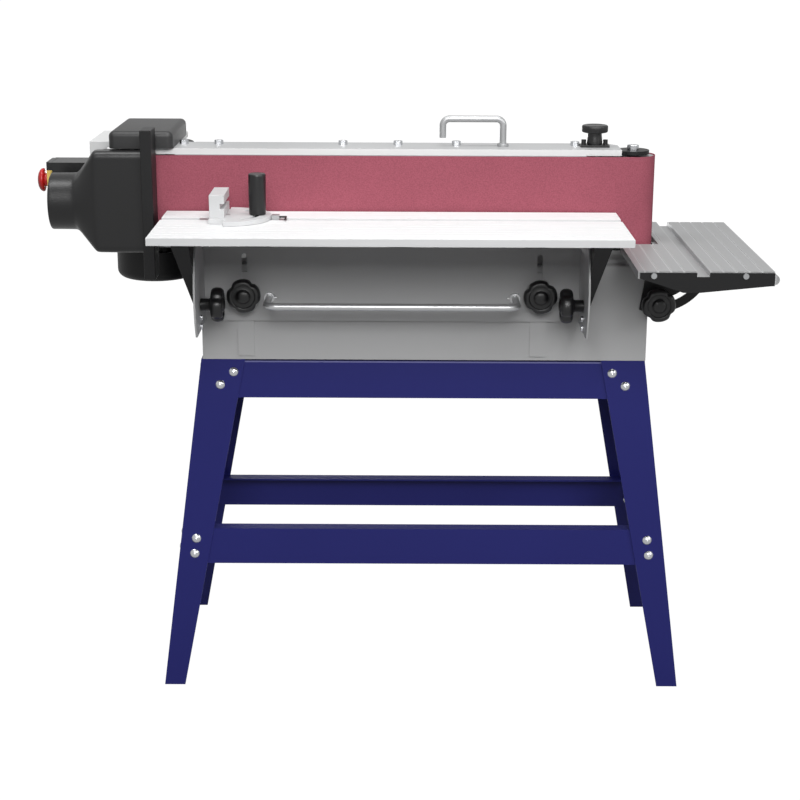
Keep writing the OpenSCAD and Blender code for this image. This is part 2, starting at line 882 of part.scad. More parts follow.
module leg_bolt_places() {
  for (p = [bolt_a, bolt_b, bolt_c, bolt_d]) on_long_face(p) children();
  for (p = [[side_bolt_top, bolt_a[1]], [side_bolt_top, bolt_b[1]], [out_y(bolt_c[1]) - low_side_in,
      bolt_c[1]],
    [out_y(bolt_d[1]) - low_side_in, bolt_d[1]]]) on_short_face(p)
      children();
}

module bolt_shank() { translate([0, 0, -nut_h - 3 * sheet]) cylinder(r = bolt_r,
    h = nut_h + 3 * sheet + over); }

// One stand bolt, drawn outwards from the face it sits on
module stand_bolt(lap) {
  intersection() {
    translate([0, 0, bolt_head_h - bolt_dome_r]) sphere(bolt_dome_r);
    cylinder(r = bolt_head_r, h = bolt_head_h);
  }
  translate([0, 0, -lap - nut_h]) cylinder(r = bolt_r, h = nut_h + lap);
  translate([0, 0, -lap - nut_h]) cylinder(r = nut_r, h = nut_h, $fn = 6);
}

// One leg of the far right quarter: two tapered flanges meeting along the splayed corner
module leg() {
  difference() {
    union() {
      intersection() {
        along_x(foot_hx + over) slant_y(0, stand_h, 0);
        along_y(foot_hy + over) polygon([[foot_hx, 0], [foot_hx - leg_foot_w, 0], [top_hx - leg_top_w,
            stand_h],
          [top_hx, stand_h]]);
      }
      intersection() {
        along_y(foot_hy + over) slant_x(0, stand_h, 0);
        along_x(foot_hx + over) polygon([[foot_hy, 0], [foot_hy - leg_foot_w, 0], [top_hy - leg_top_d,
            stand_h],
          [top_hy, stand_h]]);
      }
    }
    leg_bolt_places() bolt_shank();
  }
}

module at_stand() { translate([stand_x, stand_y, 0]) children(); }

module flip_x() { mirror([1, 0, 0]) children(); }

module flip_y() { mirror([0, 1, 0]) children(); }

module four_bolt_holes() {
  leg_bolt_places() bolt_shank();
  flip_x() leg_bolt_places() bolt_shank();
}

module leg_front_left() { color("#2b2c66") at_stand() flip_x() flip_y() leg(); }

module leg_front_right() { color("#2b2c66") at_stand() flip_y() leg(); }

module leg_rear_left() { color("#2b2c66") at_stand() flip_x() leg(); }

module leg_rear_right() { color("#2b2c66") at_stand() leg(); }

// Long rail on the rear side: slanted web and a flange turned inwards at its top
module long_rail(hx, z0, z1, flange) {
  difference() {
    union() {
      translate([-hx, 0, 0]) along_x(2 * hx) slant_y(z0, z1, sheet);
      block(-hx, hx, out_y(z1) - 2 * sheet - flange, out_y(z1) - sheet, z1 - sheet, z1);
    }
    four_bolt_holes();
  }
}

module short_rail(hy, z0, z1, flange) {
  difference() {
    union() {
      translate([0, -hy, 0]) along_y(2 * hy) slant_x(z0, z1, sheet);
      block(out_x(z1) - 2 * sheet - flange, out_x(z1) - sheet, -hy, hy, z1 - sheet, z1);
    }
    leg_bolt_places() bolt_shank();
    flip_y() leg_bolt_places() bolt_shank();
  }
}

module rail_top_rear() { color("#26275c") at_stand() long_rail(rail_top_hx, stand_h - rail_h, stand_h,
    rail_flange); }

module rail_top_front() {
  color("#26275c") at_stand() flip_y() long_rail(rail_top_hx, stand_h - rail_h, stand_h, rail_flange);
}

module rail_top_sides() {
  color("#26275c") at_stand() {
    short_rail(rail_top_hy, stand_h - rail_h, stand_h, rail_flange);
    flip_x() short_rail(rail_top_hy, stand_h - rail_h, stand_h, rail_flange);
  }
}

module rail_low_rear() { color("#26275c") at_stand() long_rail(low_hx, low_z, low_z + low_h, low_flange); }

module rail_low_front() {
  color("#26275c") at_stand() flip_y() long_rail(low_hx, low_z, low_z + low_h, low_flange);
}

module rail_low_sides() {
  color("#26275c") at_stand() {
    short_rail(low_hy, low_z, low_z + low_h, low_flange);
    flip_x() short_rail(low_hy, low_z, low_z + low_h, low_flange);
  }
}

module quarter_bolts() {
  for (p = [bolt_a, bolt_b, bolt_c, bolt_d]) on_long_face(p) stand_bolt(2 * sheet * cos(splay_y));
  for (p = [[side_bolt_top, bolt_a[1]], [side_bolt_top, bolt_b[1]], [out_y(bolt_c[1]) - low_side_in,
      bolt_c[1]],
    [out_y(bolt_d[1]) - low_side_in, bolt_d[1]]]) on_short_face(p)
      stand_bolt(2 * sheet * cos(splay_x));
}

module stand_bolts() {
  color("#d6d8da") at_stand() {
    quarter_bolts();
    flip_x() quarter_bolts();
    flip_y() quarter_bolts();
    flip_x() flip_y() quarter_bolts();
  }
}

module lock_places() { for (s = [-1, 1]) translate([wing_x + s * lock_hx, 0, lock_z]) children(); }

// Folded cabinet, open below: a wrapper for front, top and rear, and two end plates spot-welded to it
module cabinet() {
  color("#c3c5c7") difference() {
    translate([body_x - wrap_hx, 0, 0]) along_x(2 * wrap_hx) arch(front, rear, stand_h, body_z1, body_round);
    translate([body_x - body_hx, 0, 0]) along_x(2 * body_hx)
      arch(front + body_wall, rear - body_wall, stand_h - over, body_z1 - body_wall, body_round - body_wall);
    lock_places() translate([0, front - over, 0]) ycyl(screw_r + fit, body_wall + 2 * over);
    for (y = [front + body_round, rear - body_round - seam])
      block(body_x - body_hx, body_x + body_hx, y, y + seam, body_z1 - body_wall - over, body_z1 + over);
  }
  color("#c3c5c7") for (x = [body_x - body_hx, body_x + body_hx - body_wall])
    translate([x, 0, 0]) along_x(body_wall) arch(front, rear, stand_h, body_z1, body_round);
}

module guide_strips() {
  color("#b4b6b8") difference() {
    lock_places() block(-strip_w / 2, strip_w / 2, strip_y, front, body_z1 - body_band - strip_l - lock_z,
      body_z1 - body_band - lock_z);
    lock_places() translate([0, strip_y - over, 0]) ycyl(screw_r + fit, strip_t + 2 * over);
  }
}

// Flat rail on the cabinet with posts up to the head frame
module base_rail() {
  color("#b9bbbd") {
    block(base_x0, base_x1, base_y0, base_y1, body_z1, body_z1 + base_t);
    for (x = post_x) block(x - post_w / 2, x + post_w / 2, base_y0, post_y1, body_z1, frame_z0);
  }
}

// Steel box inside the belt loop
module head_frame() {
  color("#aeb1b4") difference() {
    block(frame_x0, frame_x1, -frame_hy, frame_hy, frame_z0, frame_z1);
    block(frame_x0 + frame_wall, frame_x1 - frame_wall, frame_wall - frame_hy, frame_hy - frame_wall,
      frame_z0 + frame_wall, frame_z1 - frame_wall);
    for (z = rod_z) translate([frame_x1 - frame_wall - over, 0, frame_z0 + z]) xcyl(rod_r + fit,
        frame_wall + 2 * over);
    for (x = cover_bolt_x) translate([x, cover_bolt_y, frame_z1 - frame_wall - over])
      cylinder(r = bolt_r, h = frame_wall + 2 * over);
  }
}

module platen() {
  color("#34363a") block(frame_x0, frame_x1, -frame_hy - platen_t, -frame_hy, frame_z0, belt_z1);
}

module cover_plan(k) {
  polygon([[cover_x0 + k, cover_y0 + k], [cover_x1, cover_y0 + k], [cover_x1, cover_y1 - cover_cut_y - k / 2],
    [cover_x1 - cover_cut_x - k / 2, cover_y1 - k], [cover_x0 + k, cover_y1 - k]]);
}

// Long inverted tray over the belt
module head_cover() {
  color("#d2d4d5") difference() {
    translate([0, 0, frame_z1]) linear_extrude(cover_h) cover_plan(0);
    translate([0, 0, frame_z1 - over]) linear_extrude(cover_h - cover_wall + over) cover_plan(cover_wall);
    block(cover_x1 - cover_cut_x, cover_x1 + over, -frame_hy + cover_wall, yoke_r + over, frame_z1 - over,
      cover_z1 - cover_wall);
    translate([drive_x, 0, frame_z1]) cylinder(r = shaft_r + clear, h = cover_h + over);
    for (x = cover_bolt_x) translate([x, cover_bolt_y, frame_z1]) cylinder(r = bolt_r, h = cover_h + over);
    translate([lever_x, lever_y, frame_z1]) cylinder(r = lever_r + fit, h = cover_h + over);
    translate([track_x, track_y, frame_z1]) cylinder(r = track_screw + fit, h = cover_h + over);
  }
}

module cover_bolts() {
  color("#dcdee0") for (x = cover_bolt_x) translate([x, cover_bolt_y, cover_z1]) {
    cylinder(r = hex_r, h = hex_h, $fn = 6);
    translate([0, 0, -hex_l]) cylinder(r = bolt_r, h = hex_l);
  }
}

module rear_guard() {
  color("#c3c5c7") block(guard_x0, guard_x1 - cover_cut_x, cover_y1, cover_y1 + guard_t, guard_z0, cover_z1);
}

// Arm under the frame that carries the lower end of the drive shaft
module drum_arm() {
  color("#8f9296") difference() {
    union() {
      block(arm_x0, frame_x0 + arm_lap, -arm_hy, arm_hy, belt_z - arm_drop, belt_z - arm_drop + arm_t);
      block(frame_x0, frame_x0 + arm_lap, -arm_hy, arm_hy, belt_z - arm_drop, frame_z0);
    }
    translate([drive_x, 0, belt_z - arm_drop - over]) cylinder(r = shaft_r + fit, h = arm_t + 2 * over);
  }
}

module drum_bearing() {
  color("#9da0a4") translate([drive_x, 0, cover_z1 - cover_wall - bearing_h]) difference() {
    cylinder(r = bearing_r, h = bearing_h);
    translate([0, 0, -over]) cylinder(r = shaft_r + fit, h = bearing_h + 2 * over);
  }
}

// Motor plate behind the cover, its front edge turned down at the left
module motor_plate() {
  color("#bcbec0") difference() {
    union() {
      block(mplate_x0, mplate_x1, cover_y1, mplate_y1, frame_z1, cover_z1);
      block(mplate_x0, mplate_x0 + mflange_w, cover_y1, cover_y1 + mflange_t, cover_z1 - mflange_h, cover_z1);
    }
    translate([drive_x, motor_y, frame_z1 - over]) cylinder(r = mshaft_r + clear, h = cover_h + 2 * over);
  }
}

// Finned motor hanging from its plate
module motor() {
  color("#1d1e20") translate([drive_x, motor_y, 0]) difference() {
    union() {
      translate([0, 0, motor_z0 + fan_h]) cylinder(r = motor_r, h = frame_z1 - motor_z0 - fan_h);
      translate([0, 0, frame_z1 - motor_flange_h]) cylinder(r = motor_flange_r, h = motor_flange_h);
    }
    for (i = [0 : fin_n - 1]) rotate(i * 360 / fin_n) block(motor_r - fin_d, motor_r + over,
        -fin_w / 2, fin_w / 2,
      motor_z0 + fan_h - over, frame_z1 - 2 * motor_flange_h);
    translate([0, 0, frame_z1 - mshaft_l]) cylinder(r = mshaft_r + fit, h = mshaft_l + over);
  }
}

// Fan cover: a cup with a rounded lower edge
module fan_cover() {
  color("#17181a") translate([drive_x, motor_y, motor_z0]) rotate_extrude() {
    translate([0, fan_round]) square([fan_r, fan_h - fan_round]);
    square([fan_r - fan_round, fan_h]);
    translate([fan_r - fan_round, fan_round]) intersection() {
      circle(fan_round);
      translate([0, -fan_round]) square([fan_round, 2 * fan_round]);
    }
  }
}

module pulley() {
  cylinder(r = pulley_r, h = pulley_h);
  cylinder(r = pulley_r + pulley_edge, h = pulley_rim);
  translate([0, 0, pulley_h - pulley_rim]) cylinder(r = pulley_r + pulley_edge, h = pulley_rim);
}

module motor_pulley() {
  color("#8d9094") translate([drive_x, motor_y, 0]) {
    translate([0, 0, pulley_z]) pulley();
    translate([0, 0, frame_z1 - mshaft_l + clear]) cylinder(r = mshaft_r, h = pulley_z + mshaft_l - frame_z1);
  }
}

module drive_belt() {
  color("#202124") translate([drive_x, 0, pulley_z + (pulley_h - vbelt_w) / 2]) rotate(90)
      linear_extrude(vbelt_w)
    difference() {
      loop2(motor_y, pulley_r + belt_gap + vbelt_t);
      loop2(motor_y, pulley_r + belt_gap);
    }
}

// Drum, shaft and pulley turn as one
module drive_drum() {
  color("#7c7f83") translate([drive_x, 0, 0]) {
    translate([0, 0, belt_z + drum_foot]) cylinder(r = drum_r, h = drum_l);
    translate([0, 0, belt_z - arm_drop]) cylinder(r = shaft_r, h = pulley_z - belt_z + arm_drop);
    translate([0, 0, pulley_z]) pulley();
  }
}

// Moulded cap over the drive belt, open at its right end
module drive_cap() {
  color("#1b1c1e") difference() {
    intersection() {
      translate([cap_x0, 0, 0]) along_x(cap_x1 - cap_x0) arch(cap_y0, cap_y1, cover_z1,
          cover_z1 + cap_h, cap_round);
      translate([0, cap_y0, 0]) along_y(cap_y1 - cap_y0)
        arch(cap_x0, cap_x1 + cap_round + over, cover_z1, cover_z1 + cap_h, cap_round);
    }
    block(cap_x0 + cap_wall, cap_x1 + over, cap_y0 + cap_wall, cap_y1 - cap_wall, cover_z1 - over,
      cover_z1 + cap_h - cap_wall);
  }
}

// Sliding yoke: two arms, web, guide rods and the idler axle
module idler_yoke() {
  color("#1d1e20") {
    translate([idler_x, 0, yoke_z]) cylinder(r = yoke_r, h = yoke_t);
    block(yoke_x0, idler_x, -yoke_hy, yoke_hy, yoke_z, yoke_z + yoke_t);
    block(yoke_x0, yoke_x0 + yoke_web, -yoke_hy, yoke_hy, yoke_low_z - yoke_low_t, yoke_z + yoke_t);
    block(yoke_x0, idler_x, -yoke_hy, yoke_hy, yoke_low_z - yoke_low_t, yoke_low_z);
    translate([idler_x, 0, yoke_low_z - yoke_low_t]) cylinder(r = yoke_hy, h = yoke_low_t);
    translate([idler_x, 0, yoke_low_z - yoke_low_t]) cylinder(r = axle_r,
        h = yoke_z - yoke_low_z + yoke_low_t);
    for (z = rod_z) translate([yoke_x0 - rod_l, 0, frame_z0 + z]) xcyl(rod_r, rod_l + over);
  }
}

module idler_drum() {
  color("#7c7f83") translate([idler_x, 0, belt_z + idler_gap]) difference() {
    cylinder(r = drum_r, h = drum_l);
    translate([0, 0, -over]) cylinder(r = axle_r + fit, h = drum_l + 2 * over);
  }
}

module axle_bolt() {
  color("#d9dbdd") translate([idler_x, 0, yoke_z + yoke_t]) cylinder(r = axle_bolt_r, h = axle_bolt_h,
      $fn = 6);
}

module sanding_belt() {
  color("#9c4a5c") translate([drive_x, 0, belt_z]) linear_extrude(belt_w) difference() {
    loop2(idler_x - drive_x, loop_r);
    loop2(idler_x - drive_x, inner_r);
  }
}

// Quarter bend of a round rod, from +X towards +Y
module bend(r, k) { rotate_extrude(angle = 90) translate([k, 0]) circle(r); }

// Bent rod: upright, level arm to the left, end turned down
module tension_lever() {
  color("#c9ccce") translate([lever_x, lever_y, 0]) {
    translate([0, 0, cover_z1 - lever_in]) cylinder(r = lever_r, h = lever_in + lever_h - lever_bend);
    translate([-lever_bend, 0, cover_z1 + lever_h - lever_bend]) rotate([90, 0, 0]) bend(lever_r, lever_bend);
    translate([lever_bend - lever_l, 0, cover_z1 + lever_h]) xcyl(lever_r, lever_l - 2 * lever_bend);
    translate([lever_bend - lever_l, 0, cover_z1 + lever_h - lever_bend]) rotate([90, -90, 0])
      bend(lever_r, lever_bend);
    translate([-lever_l, 0, cover_z1 + lever_h - lever_drop]) cylinder(r = lever_r,
        h = lever_drop - lever_bend);
  }
}

module lever_boss() {
  color("#b9bcbe") translate([lever_x, lever_y, cover_z1]) difference() {
    cylinder(r = boss_r, h = boss_h);
    translate([0, 0, -over]) cylinder(r = lever_r + fit, h = boss_h + 2 * over);
  }
}

module tracking_knob() {
  color("#1b1c1e") translate([track_x, track_y, cover_z1]) {
    translate([0, 0, -cover_wall]) cylinder(r = track_screw, h = cover_wall + track_lift);
    translate([0, 0, track_base_t + plate_gap])
      cylinder(r1 = track_foot, r2 = track_neck, h = track_lift - track_base_t - plate_gap);
    translate([0, 0, track_lift]) cylinder(r = track_r, h = track_h);
  }
}

module tracking_base() {
  color("#232427") translate([track_x, track_y, cover_z1]) difference() {
    union() {
      block(-track_base_w, track_base_w, -track_base_d, track_base_d, 0, track_base_t);
      for (s = [-1, 1]) translate([s * stud_x, 0, 0]) cylinder(r = stud_r, h = track_base_t + stud_h);
    }
    translate([0, 0, -over]) cylinder(r = track_screw + fit, h = track_base_t + 2 * over);
  }
}

// Outline of the hood's straight part in Y and Z, inset by k
module hood_profile(k) {
  translate([hood_y0 + k, hood_z0 + k]) square([hood_y1 - hood_y0 - 2 * k, hood_z1 - hood_z0 - 2 * k]);
}

module hood_lip_profile(k) {
  difference() {
    translate([hood_y0 + k, hood_z0 + k]) square([cover_y0 - hood_y0 - 2 * k, hood_lip - hood_z0 - 2 * k]);
    translate([hood_y0 + k, hood_lip - hood_round]) square([hood_round - k, hood_round]);
  }
  translate([hood_y0 + hood_round, hood_lip - hood_round]) circle(hood_round - k);
}

module hood_taper(k) {
  hull() {
    translate([hood_x0, 0, 0]) along_x(over) hood_profile(k);
    translate([port_x1 - over, 0, port_z]) xcyl(port_r - 2 * port_step - k, over);
  }
}

// Moulded hood round the drive end, tapering into the round port
module dust_hood() {
  color("#202124") difference() {
    union() {
      translate([hood_x0, 0, 0]) along_x(hood_x1 - hood_x0) hood_profile(0);
      translate([hood_x0, 0, 0]) along_x(hood_x1 - hood_x0) hood_lip_profile(0);
      hood_taper(0);
      translate([port_x0, 0, port_z]) xcyl(port_r, port_seat);
      translate([port_x0, 0, port_z]) xcyl(port_r - port_step, port_x1 - port_x0);
    }
    translate([hood_x0, 0, 0]) along_x(hood_x1 - hood_x0 + over) hood_profile(hood_wall);
    translate([hood_x0 + hood_wall, 0, 0]) along_x(hood_x1 - hood_x0) hood_lip_profile(hood_wall);
    hood_taper(hood_wall);
    block(hood_x0 + hood_top_w, hood_x1 + over, hood_y0 + hood_wall, hood_y1 - hood_wall,
        hood_z1 - 2 * hood_wall,
      frame_z1);
    translate([port_x0 - over, 0, port_z]) xcyl(port_r - hood_wall, port_x1 - port_x0 + 2 * over);
  }
  color("#202124") block(hood_x1 - hood_wall, hood_x1, hood_y0 + hood_wall, hood_y0 + hood_return,
      hood_z0, hood_z1);
}

// Upright channel that keeps the work from being carried off
module work_stop() {
  color("#191a1c") difference() {
    block(stop_x0, stop_x1, stop_y0, stop_y1, stop_z0, stop_z1);
    block(stop_x0 + stop_t, stop_x1 - stop_t, stop_y0 + stop_t, stop_y1 + over, stop_z0 - over,
        stop_z1 - stop_t);
  }
}

module button_places() { for (s = [-1, 1]) translate([0, box_cy, box_cz + s * button_z]) children(); }

// Box with a recess for the buttons and two ears with the lid's hinge pin
module switch_box() {
  color("#202124") difference() {
    union() {
      block(box_x0, box_x1, box_y0, box_y1, box_z0, box_z1);
      block(tab_x0, tab_x1, hood_y1, box_y0, box_cz - tab_h, box_cz + tab_h);
    }
    block(box_x0 - over, box_x0 + recess_d, box_y0 + recess_edge, box_y1 - recess_edge, box_z0 + recess_edge,
      box_z1 - recess_edge);
    button_places() translate([box_x0, 0, 0]) xcyl(button_r - button_step + button_fit, recess_d + button_in);
  }
  color("#202124") for (y = [box_y0, box_y1 - ear_w])
    block(hinge_x - barrel_r, box_x0 + ear_w, y, y + ear_w, hinge_z - lid_edge, box_z1);
  color("#202124") translate([hinge_x, box_y0, hinge_z]) ycyl(hinge_r, box_y1 - box_y0);
}

// Yellow lid with barrel, carrying the red mushroom
module switch_lid() {
  color("#e3b51f") difference() {
    union() {
      block(lid_x - lid_t, lid_x, box_y0 + ear_w + lid_gap, box_y1 - ear_w - lid_gap, box_z0 + lid_edge,
        hinge_z);
      translate([hinge_x, box_y0 + ear_w + lid_gap, hinge_z]) ycyl(barrel_r,
          box_y1 - box_y0 - 2 * ear_w - 2 * lid_gap);
      block(lid_x - lid_t, hinge_x, box_y0 + ear_w + lid_gap, box_y1 - ear_w - lid_gap, hinge_z, box_z1);
    }
    translate([hinge_x, box_y0, hinge_z]) ycyl(hinge_r + fit, box_y1 - box_y0);
  }
  color("#b3261e") translate([left_end, box_cy, mush_z]) {
    xcyl(mush_stem_r, lid_x - lid_t - left_end + over);
    intersection() {
      translate([mush_dome, 0, 0]) sphere(mush_dome);
      xcyl(mush_r, mush_h);
    }
  }
}

// Push button: head in the recess and a guide behind its floor
module button() {
  translate([box_x0 + recess_d - button_h, 0, 0]) xcyl(button_r, button_h - button_travel);
  translate([box_x0 + recess_d - button_h, 0, 0]) 
    xcyl(button_r - button_step, button_h + button_in - button_travel);
}

module start_button() { color("#2f8a3c") translate([0, box_cy, box_cz + button_z]) button(); }

module stop_button() { color("#b3261e") translate([0, box_cy, box_cz - button_z]) button(); }

// Outline of a wing in Y and Z, seen from the side
module wing_outline() {
  intersection() {
    translate([panel_y - wing_cy, wing_cz]) circle(wing_r);
    union() {
      translate([panel_y1 - wing_r * 2, panel_z0]) square([wing_r * 2, panel_z1 - panel_z0]);
      translate([panel_y - wing_back - wing_r * 2, panel_z0]) square([wing_r * 2, wing_z1 - panel_z0]);
    }
  }
}

// Panel with two forward wings and the lock slots
module table_carrier() {
  color("#b7babd") translate([wing_x, 0, 0]) difference() {
    union() {
      block(-wing_outer, wing_outer, panel_y, panel_y1, panel_z0, panel_z1);
      for (x = [-wing_outer, wing_in]) translate([x, 0, 0]) along_x(wing_t) wing_outline();
    }
    for (s = [-1, 1]) translate([s * lock_hx, panel_y - over, lock_z]) {
      block(-lock_slot / 2, lock_slot / 2, 0, wing_t + 2 * over, -slot_spare, lift + slot_spare);
      translate([0, 0, -slot_spare]) ycyl(lock_slot / 2, wing_t + 2 * over);
      translate([0, 0, lift + slot_spare]) ycyl(lock_slot / 2, wing_t + 2 * over);
    }
    translate([-wing_outer - over, tilt_y, tilt_z]) xcyl(screw_r + fit, 2 * wing_outer + 2 * over);
    for (z = stop_bolt_dz) translate([-wing_outer - over, tilt_y, tilt_z - z]) xcyl(stop_bolt_r,
        2 * wing_outer + 2 * over);
  }
}

// Bent round bar fixed to the panel
module lift_bar() {
  color("#d3d6d8") translate([wing_x, 0, bar_z]) {
    translate([bar_bend - bar_hx, bar_y, 0]) xcyl(bar_r, 2 * bar_hx - 2 * bar_bend);
    for (s = [0, 1]) mirror([s, 0, 0]) {
      translate([bar_hx, bar_y + bar_bend, 0]) ycyl(bar_r, bar_out - bar_bend);
      translate([bar_hx - bar_bend, bar_y + bar_bend, 0]) rotate(-90) bend(bar_r, bar_bend);
      translate([bar_hx, panel_y - collar_l, 0]) ycyl(collar_r, collar_l);
      translate([bar_hx - pin_l, panel_y - collar_l / 2, 0]) xcyl(pin_r, pin_l);
    }
  }
}

// Four-lobed knob, drawn outwards along +Z from its seat, with its screw below the seat
module star_knob(screw_l) {
  difference() {
    union() {
      cylinder(r = hub_r, h = hub_h);
      translate([0, 0, hub_h]) cylinder(r = knob_r, h = knob_h);
    }
    for (i = [0 : 3]) rotate(i * 90 + 45 + knob_turn) translate([knob_r + notch_out, 0, hub_h - over])
      cylinder(r = notch_r, h = knob_h + 2 * over);
  }
  translate([0, 0, hub_h + knob_h]) cylinder(r1 = dome_r, r2 = dome_r - dome_h, h = dome_h);
  translate([0, 0, -screw_l]) cylinder(r = screw_r, h = screw_l + over);
}

module lock_knob(s) {
  color("#17181a") translate([wing_x + s * lock_hx, panel_y - slide_gap, lock_z]) rotate([90, 0, 0])
    star_knob(slide_gap + wing_t + slide_gap + strip_t + body_wall + over);
}

module lock_knob_left() { lock_knob(-1); }

module lock_knob_right() { lock_knob(1); }

// Section of the main table in Y and Z
module table_section() {
  difference() {
    translate([table_y0, table_z - table_t]) square([table_d, table_t]);
    translate([table_y0 + edge_w, table_z - table_t - over])
      square([slot_y - rib_hw - table_y0 - edge_w, table_t - table_skin + over]);
    translate([slot_y + rib_hw, table_z - table_t - over])
      square([table_y1 - edge_w - slot_y - rib_hw, table_t - table_skin + over]);
    translate([slot_y - slot_w / 2, table_z - slot_d]) square([slot_w, slot_d + over]);
    for (y = [table_y0 + groove_start_share * groove_p : groove_p : table_y1 - groove_w])
      translate([y, table_z - groove_d]) square([groove_w, groove_d + over]);
  }
}

module main_table() { color("#e6e8ea") translate([table_x - table_hx, 0, 0]) along_x(2 * table_hx)
    table_section(); }

// Outline of a table arm in Y and Z: wide under the table, narrow at its boss
module arm_outline() {
  difference() {
    union() {
      translate([tilt_y, tilt_z]) circle(tarm_boss);
      polygon([[panel_y - tarm_rear, table_z - table_t], [panel_y - tarm_front, table_z - table_t],
        [tilt_y - tarm_boss, tilt_z], [tilt_y + tarm_boss, tilt_z]]);
    }
    translate([tilt_y, tilt_z]) circle(screw_r + fit);
  }
}

// Right-hand arm: plate beside the wing, flange under the table, tapered front web
module table_arm() {
  translate([wing_outer + wing_gap, 0, 0]) {
    along_x(tarm_t) arm_outline();
    block(0, tarm_w, panel_y - tarm_front, panel_y - tarm_rear, table_z - table_t - tarm_flange,
        table_z - table_t);
    intersection() {
      along_x(tarm_w) polygon([[panel_y - tarm_front, table_z - table_t], [tilt_y - tarm_boss, tilt_z],
        [tilt_y - tarm_boss + tarm_flange, tilt_z], [panel_y - tarm_front + tarm_flange, table_z - table_t]]);
      translate([0, panel_y - tarm_front - over, 0]) along_y(tarm_front)
        polygon([[0, tilt_z], [tarm_t, tilt_z], [tarm_w, table_z - table_t], [0, table_z - table_t]]);
    }
  }
}

module table_arm_left() { color("#17181a") translate([wing_x, 0, 0]) flip_x() table_arm(); }

module table_arm_right() { color("#17181a") translate([wing_x, 0, 0]) table_arm(); }

module tilt_knob() {
  translate([wing_in - slide_gap, tilt_y, tilt_z]) rotate([0, -90, 0])
    star_knob(slide_gap + wing_t + wing_gap + tarm_t);
}

module tilt_knob_left() { color("#17181a") translate([wing_x, 0, 0]) flip_x() tilt_knob(); }

module tilt_knob_right() { color("#17181a") translate([wing_x, 0, 0]) tilt_knob(); }

// Stop bolts through the wings under the tilt axis
module stop_bolts() {
  color("#d6d8da") translate([wing_x, 0, 0]) for (s = [0, 1]) mirror([s, 0, 0]) for (z = stop_bolt_dz)
    translate([wing_in, tilt_y, tilt_z - z]) {
      xcyl(stop_bolt_r, wing_t + stop_head_h);
      translate([-stop_head_h, 0, 0]) xcyl(stop_head_r, stop_head_h);
      translate([wing_t, 0, 0]) rotate([0, 90, 0]) cylinder(r = stop_head_r, h = stop_head_h, $fn = 6);
    }
}

// Bar in the table slot with the pivot pin, the pointer and its bent rod
module gauge_bar() {
  color("#c4c7ca") translate([gauge_x, slot_y, 0]) difference() {
    union() {
      block(-bar_left, bar_right, bar_fit - slot_w / 2, slot_w / 2 - bar_fit,
          table_z - slot_d + bar_fit, table_z - bar_fit);
      translate([0, 0, table_z - slot_d + bar_fit]) cylinder(r = pivot_r, h = slot_d + plate_gap + prot_t);
      block(prot_r + 2 * plate_gap, prot_r + pointer_l, -pointer_hw, pointer_hw, table_z - slot_d + bar_fit,
        gauge_z + prot_t);
      translate([prot_r + pointer_l - over, 0, gauge_z + prot_t / 2]) xcyl(wire_r, wire_l);
      translate([prot_r + pointer_l - over + wire_l - wire_r, 0, gauge_z + prot_t / 2]) rotate([180, 0, 0])
        ycyl(wire_r, wire_s);
    }
    translate([clamp_x, 0, table_z - slot_d]) cylinder(r = clamp_screw + fit, h = slot_d + over);
  }
}

module sector(a, l) { polygon([[0, 0], [l * cos(a), -l * sin(a)], [2 * l, 0], [l * cos(a), l * sin(a)]]); }

// Half-round protractor plate with its arc slot
module gauge_head() {
  color("#d6d9dc") translate([gauge_x, slot_y, gauge_z]) linear_extrude(prot_t) difference() {
    union() {
      intersection() {
        circle(prot_r);
        translate([0, -prot_r]) square([prot_r, 2 * prot_r]);
      }
      translate([-prot_left, -prot_hy]) square([prot_left + over, 2 * prot_hy]);
    }
    circle(pivot_r + fit);
    intersection() {
      difference() {
        circle(clamp_x + clamp_screw + plate_gap);
        circle(clamp_x - clamp_screw - plate_gap);
      }
      sector(swing, prot_r);
    }
    for (s = [-1, 1]) rotate(s * swing) translate([clamp_x, 0]) circle(clamp_screw + plate_gap);
  }
}

// Fence rail on the straight edge, slotted on its right face
module gauge_fence() {
  color("#dfe2e4") translate([gauge_x - prot_left, slot_y, gauge_z + prot_t]) difference() {
    block(0, fence_t, -fence_y0, fence_y1, 0, fence_h);
    block(fence_t - fence_slot_d, fence_t + over, -fence_y0 - over, fence_y1 + over,
        (fence_h - fence_slot) / 2,
      (fence_h + fence_slot) / 2);
    translate([prot_left, 0, -over]) cylinder(r = pivot_r + clear, h = prot_t + over);
  }
}

module gauge_handle() {
  color("#17181a") translate([gauge_x + clamp_x, slot_y, gauge_z + prot_t + plate_gap]) {
    cylinder(r = clamp_r, h = clamp_l);
    translate([0, 0, -plate_gap - prot_t - plate_gap - slot_d + 2 * bar_fit])
      cylinder(r = clamp_screw, h = slot_d + prot_t + 2 * plate_gap);
  }
}

module end_section() {
  difference() {
    union() {
      translate([end_x0, end_z - end_t]) square([end_x1 - end_x0, end_t]);
      translate([end_x1, end_z - lip_d]) circle(lip_r);
    }
    translate([end_x0 + end_slot_x - slot_w / 2, end_z - end_slot_d]) square([slot_w, end_slot_d + over]);
    for (i = [0 : end_groove_n - 1]) translate([end_x0 + (i + groove_start_share) * end_groove_p,
        end_z - groove_d])
      square([groove_w, groove_d + over]);
  }
}

module eplate_outline() {
  difference() {
    polygon(concat([[end_x1, end_z - eplate_top], [end_x0 + eplate_in[0], end_z - eplate_top]],
      [for (i = [0 : 4]) [end_x0 + eplate_in[i], end_z - eplate_down[i]]], [[end_x1,
          end_z - eplate_down[4]]]));
    translate([end_x0 + end_slot_x - slot_w / 2, end_z - end_slot_d]) square([slot_w, end_slot_d + over]);
    for (x = escrew_x) translate([end_x0 + x, end_z - escrew_z]) circle(escrew_r);
  }
}

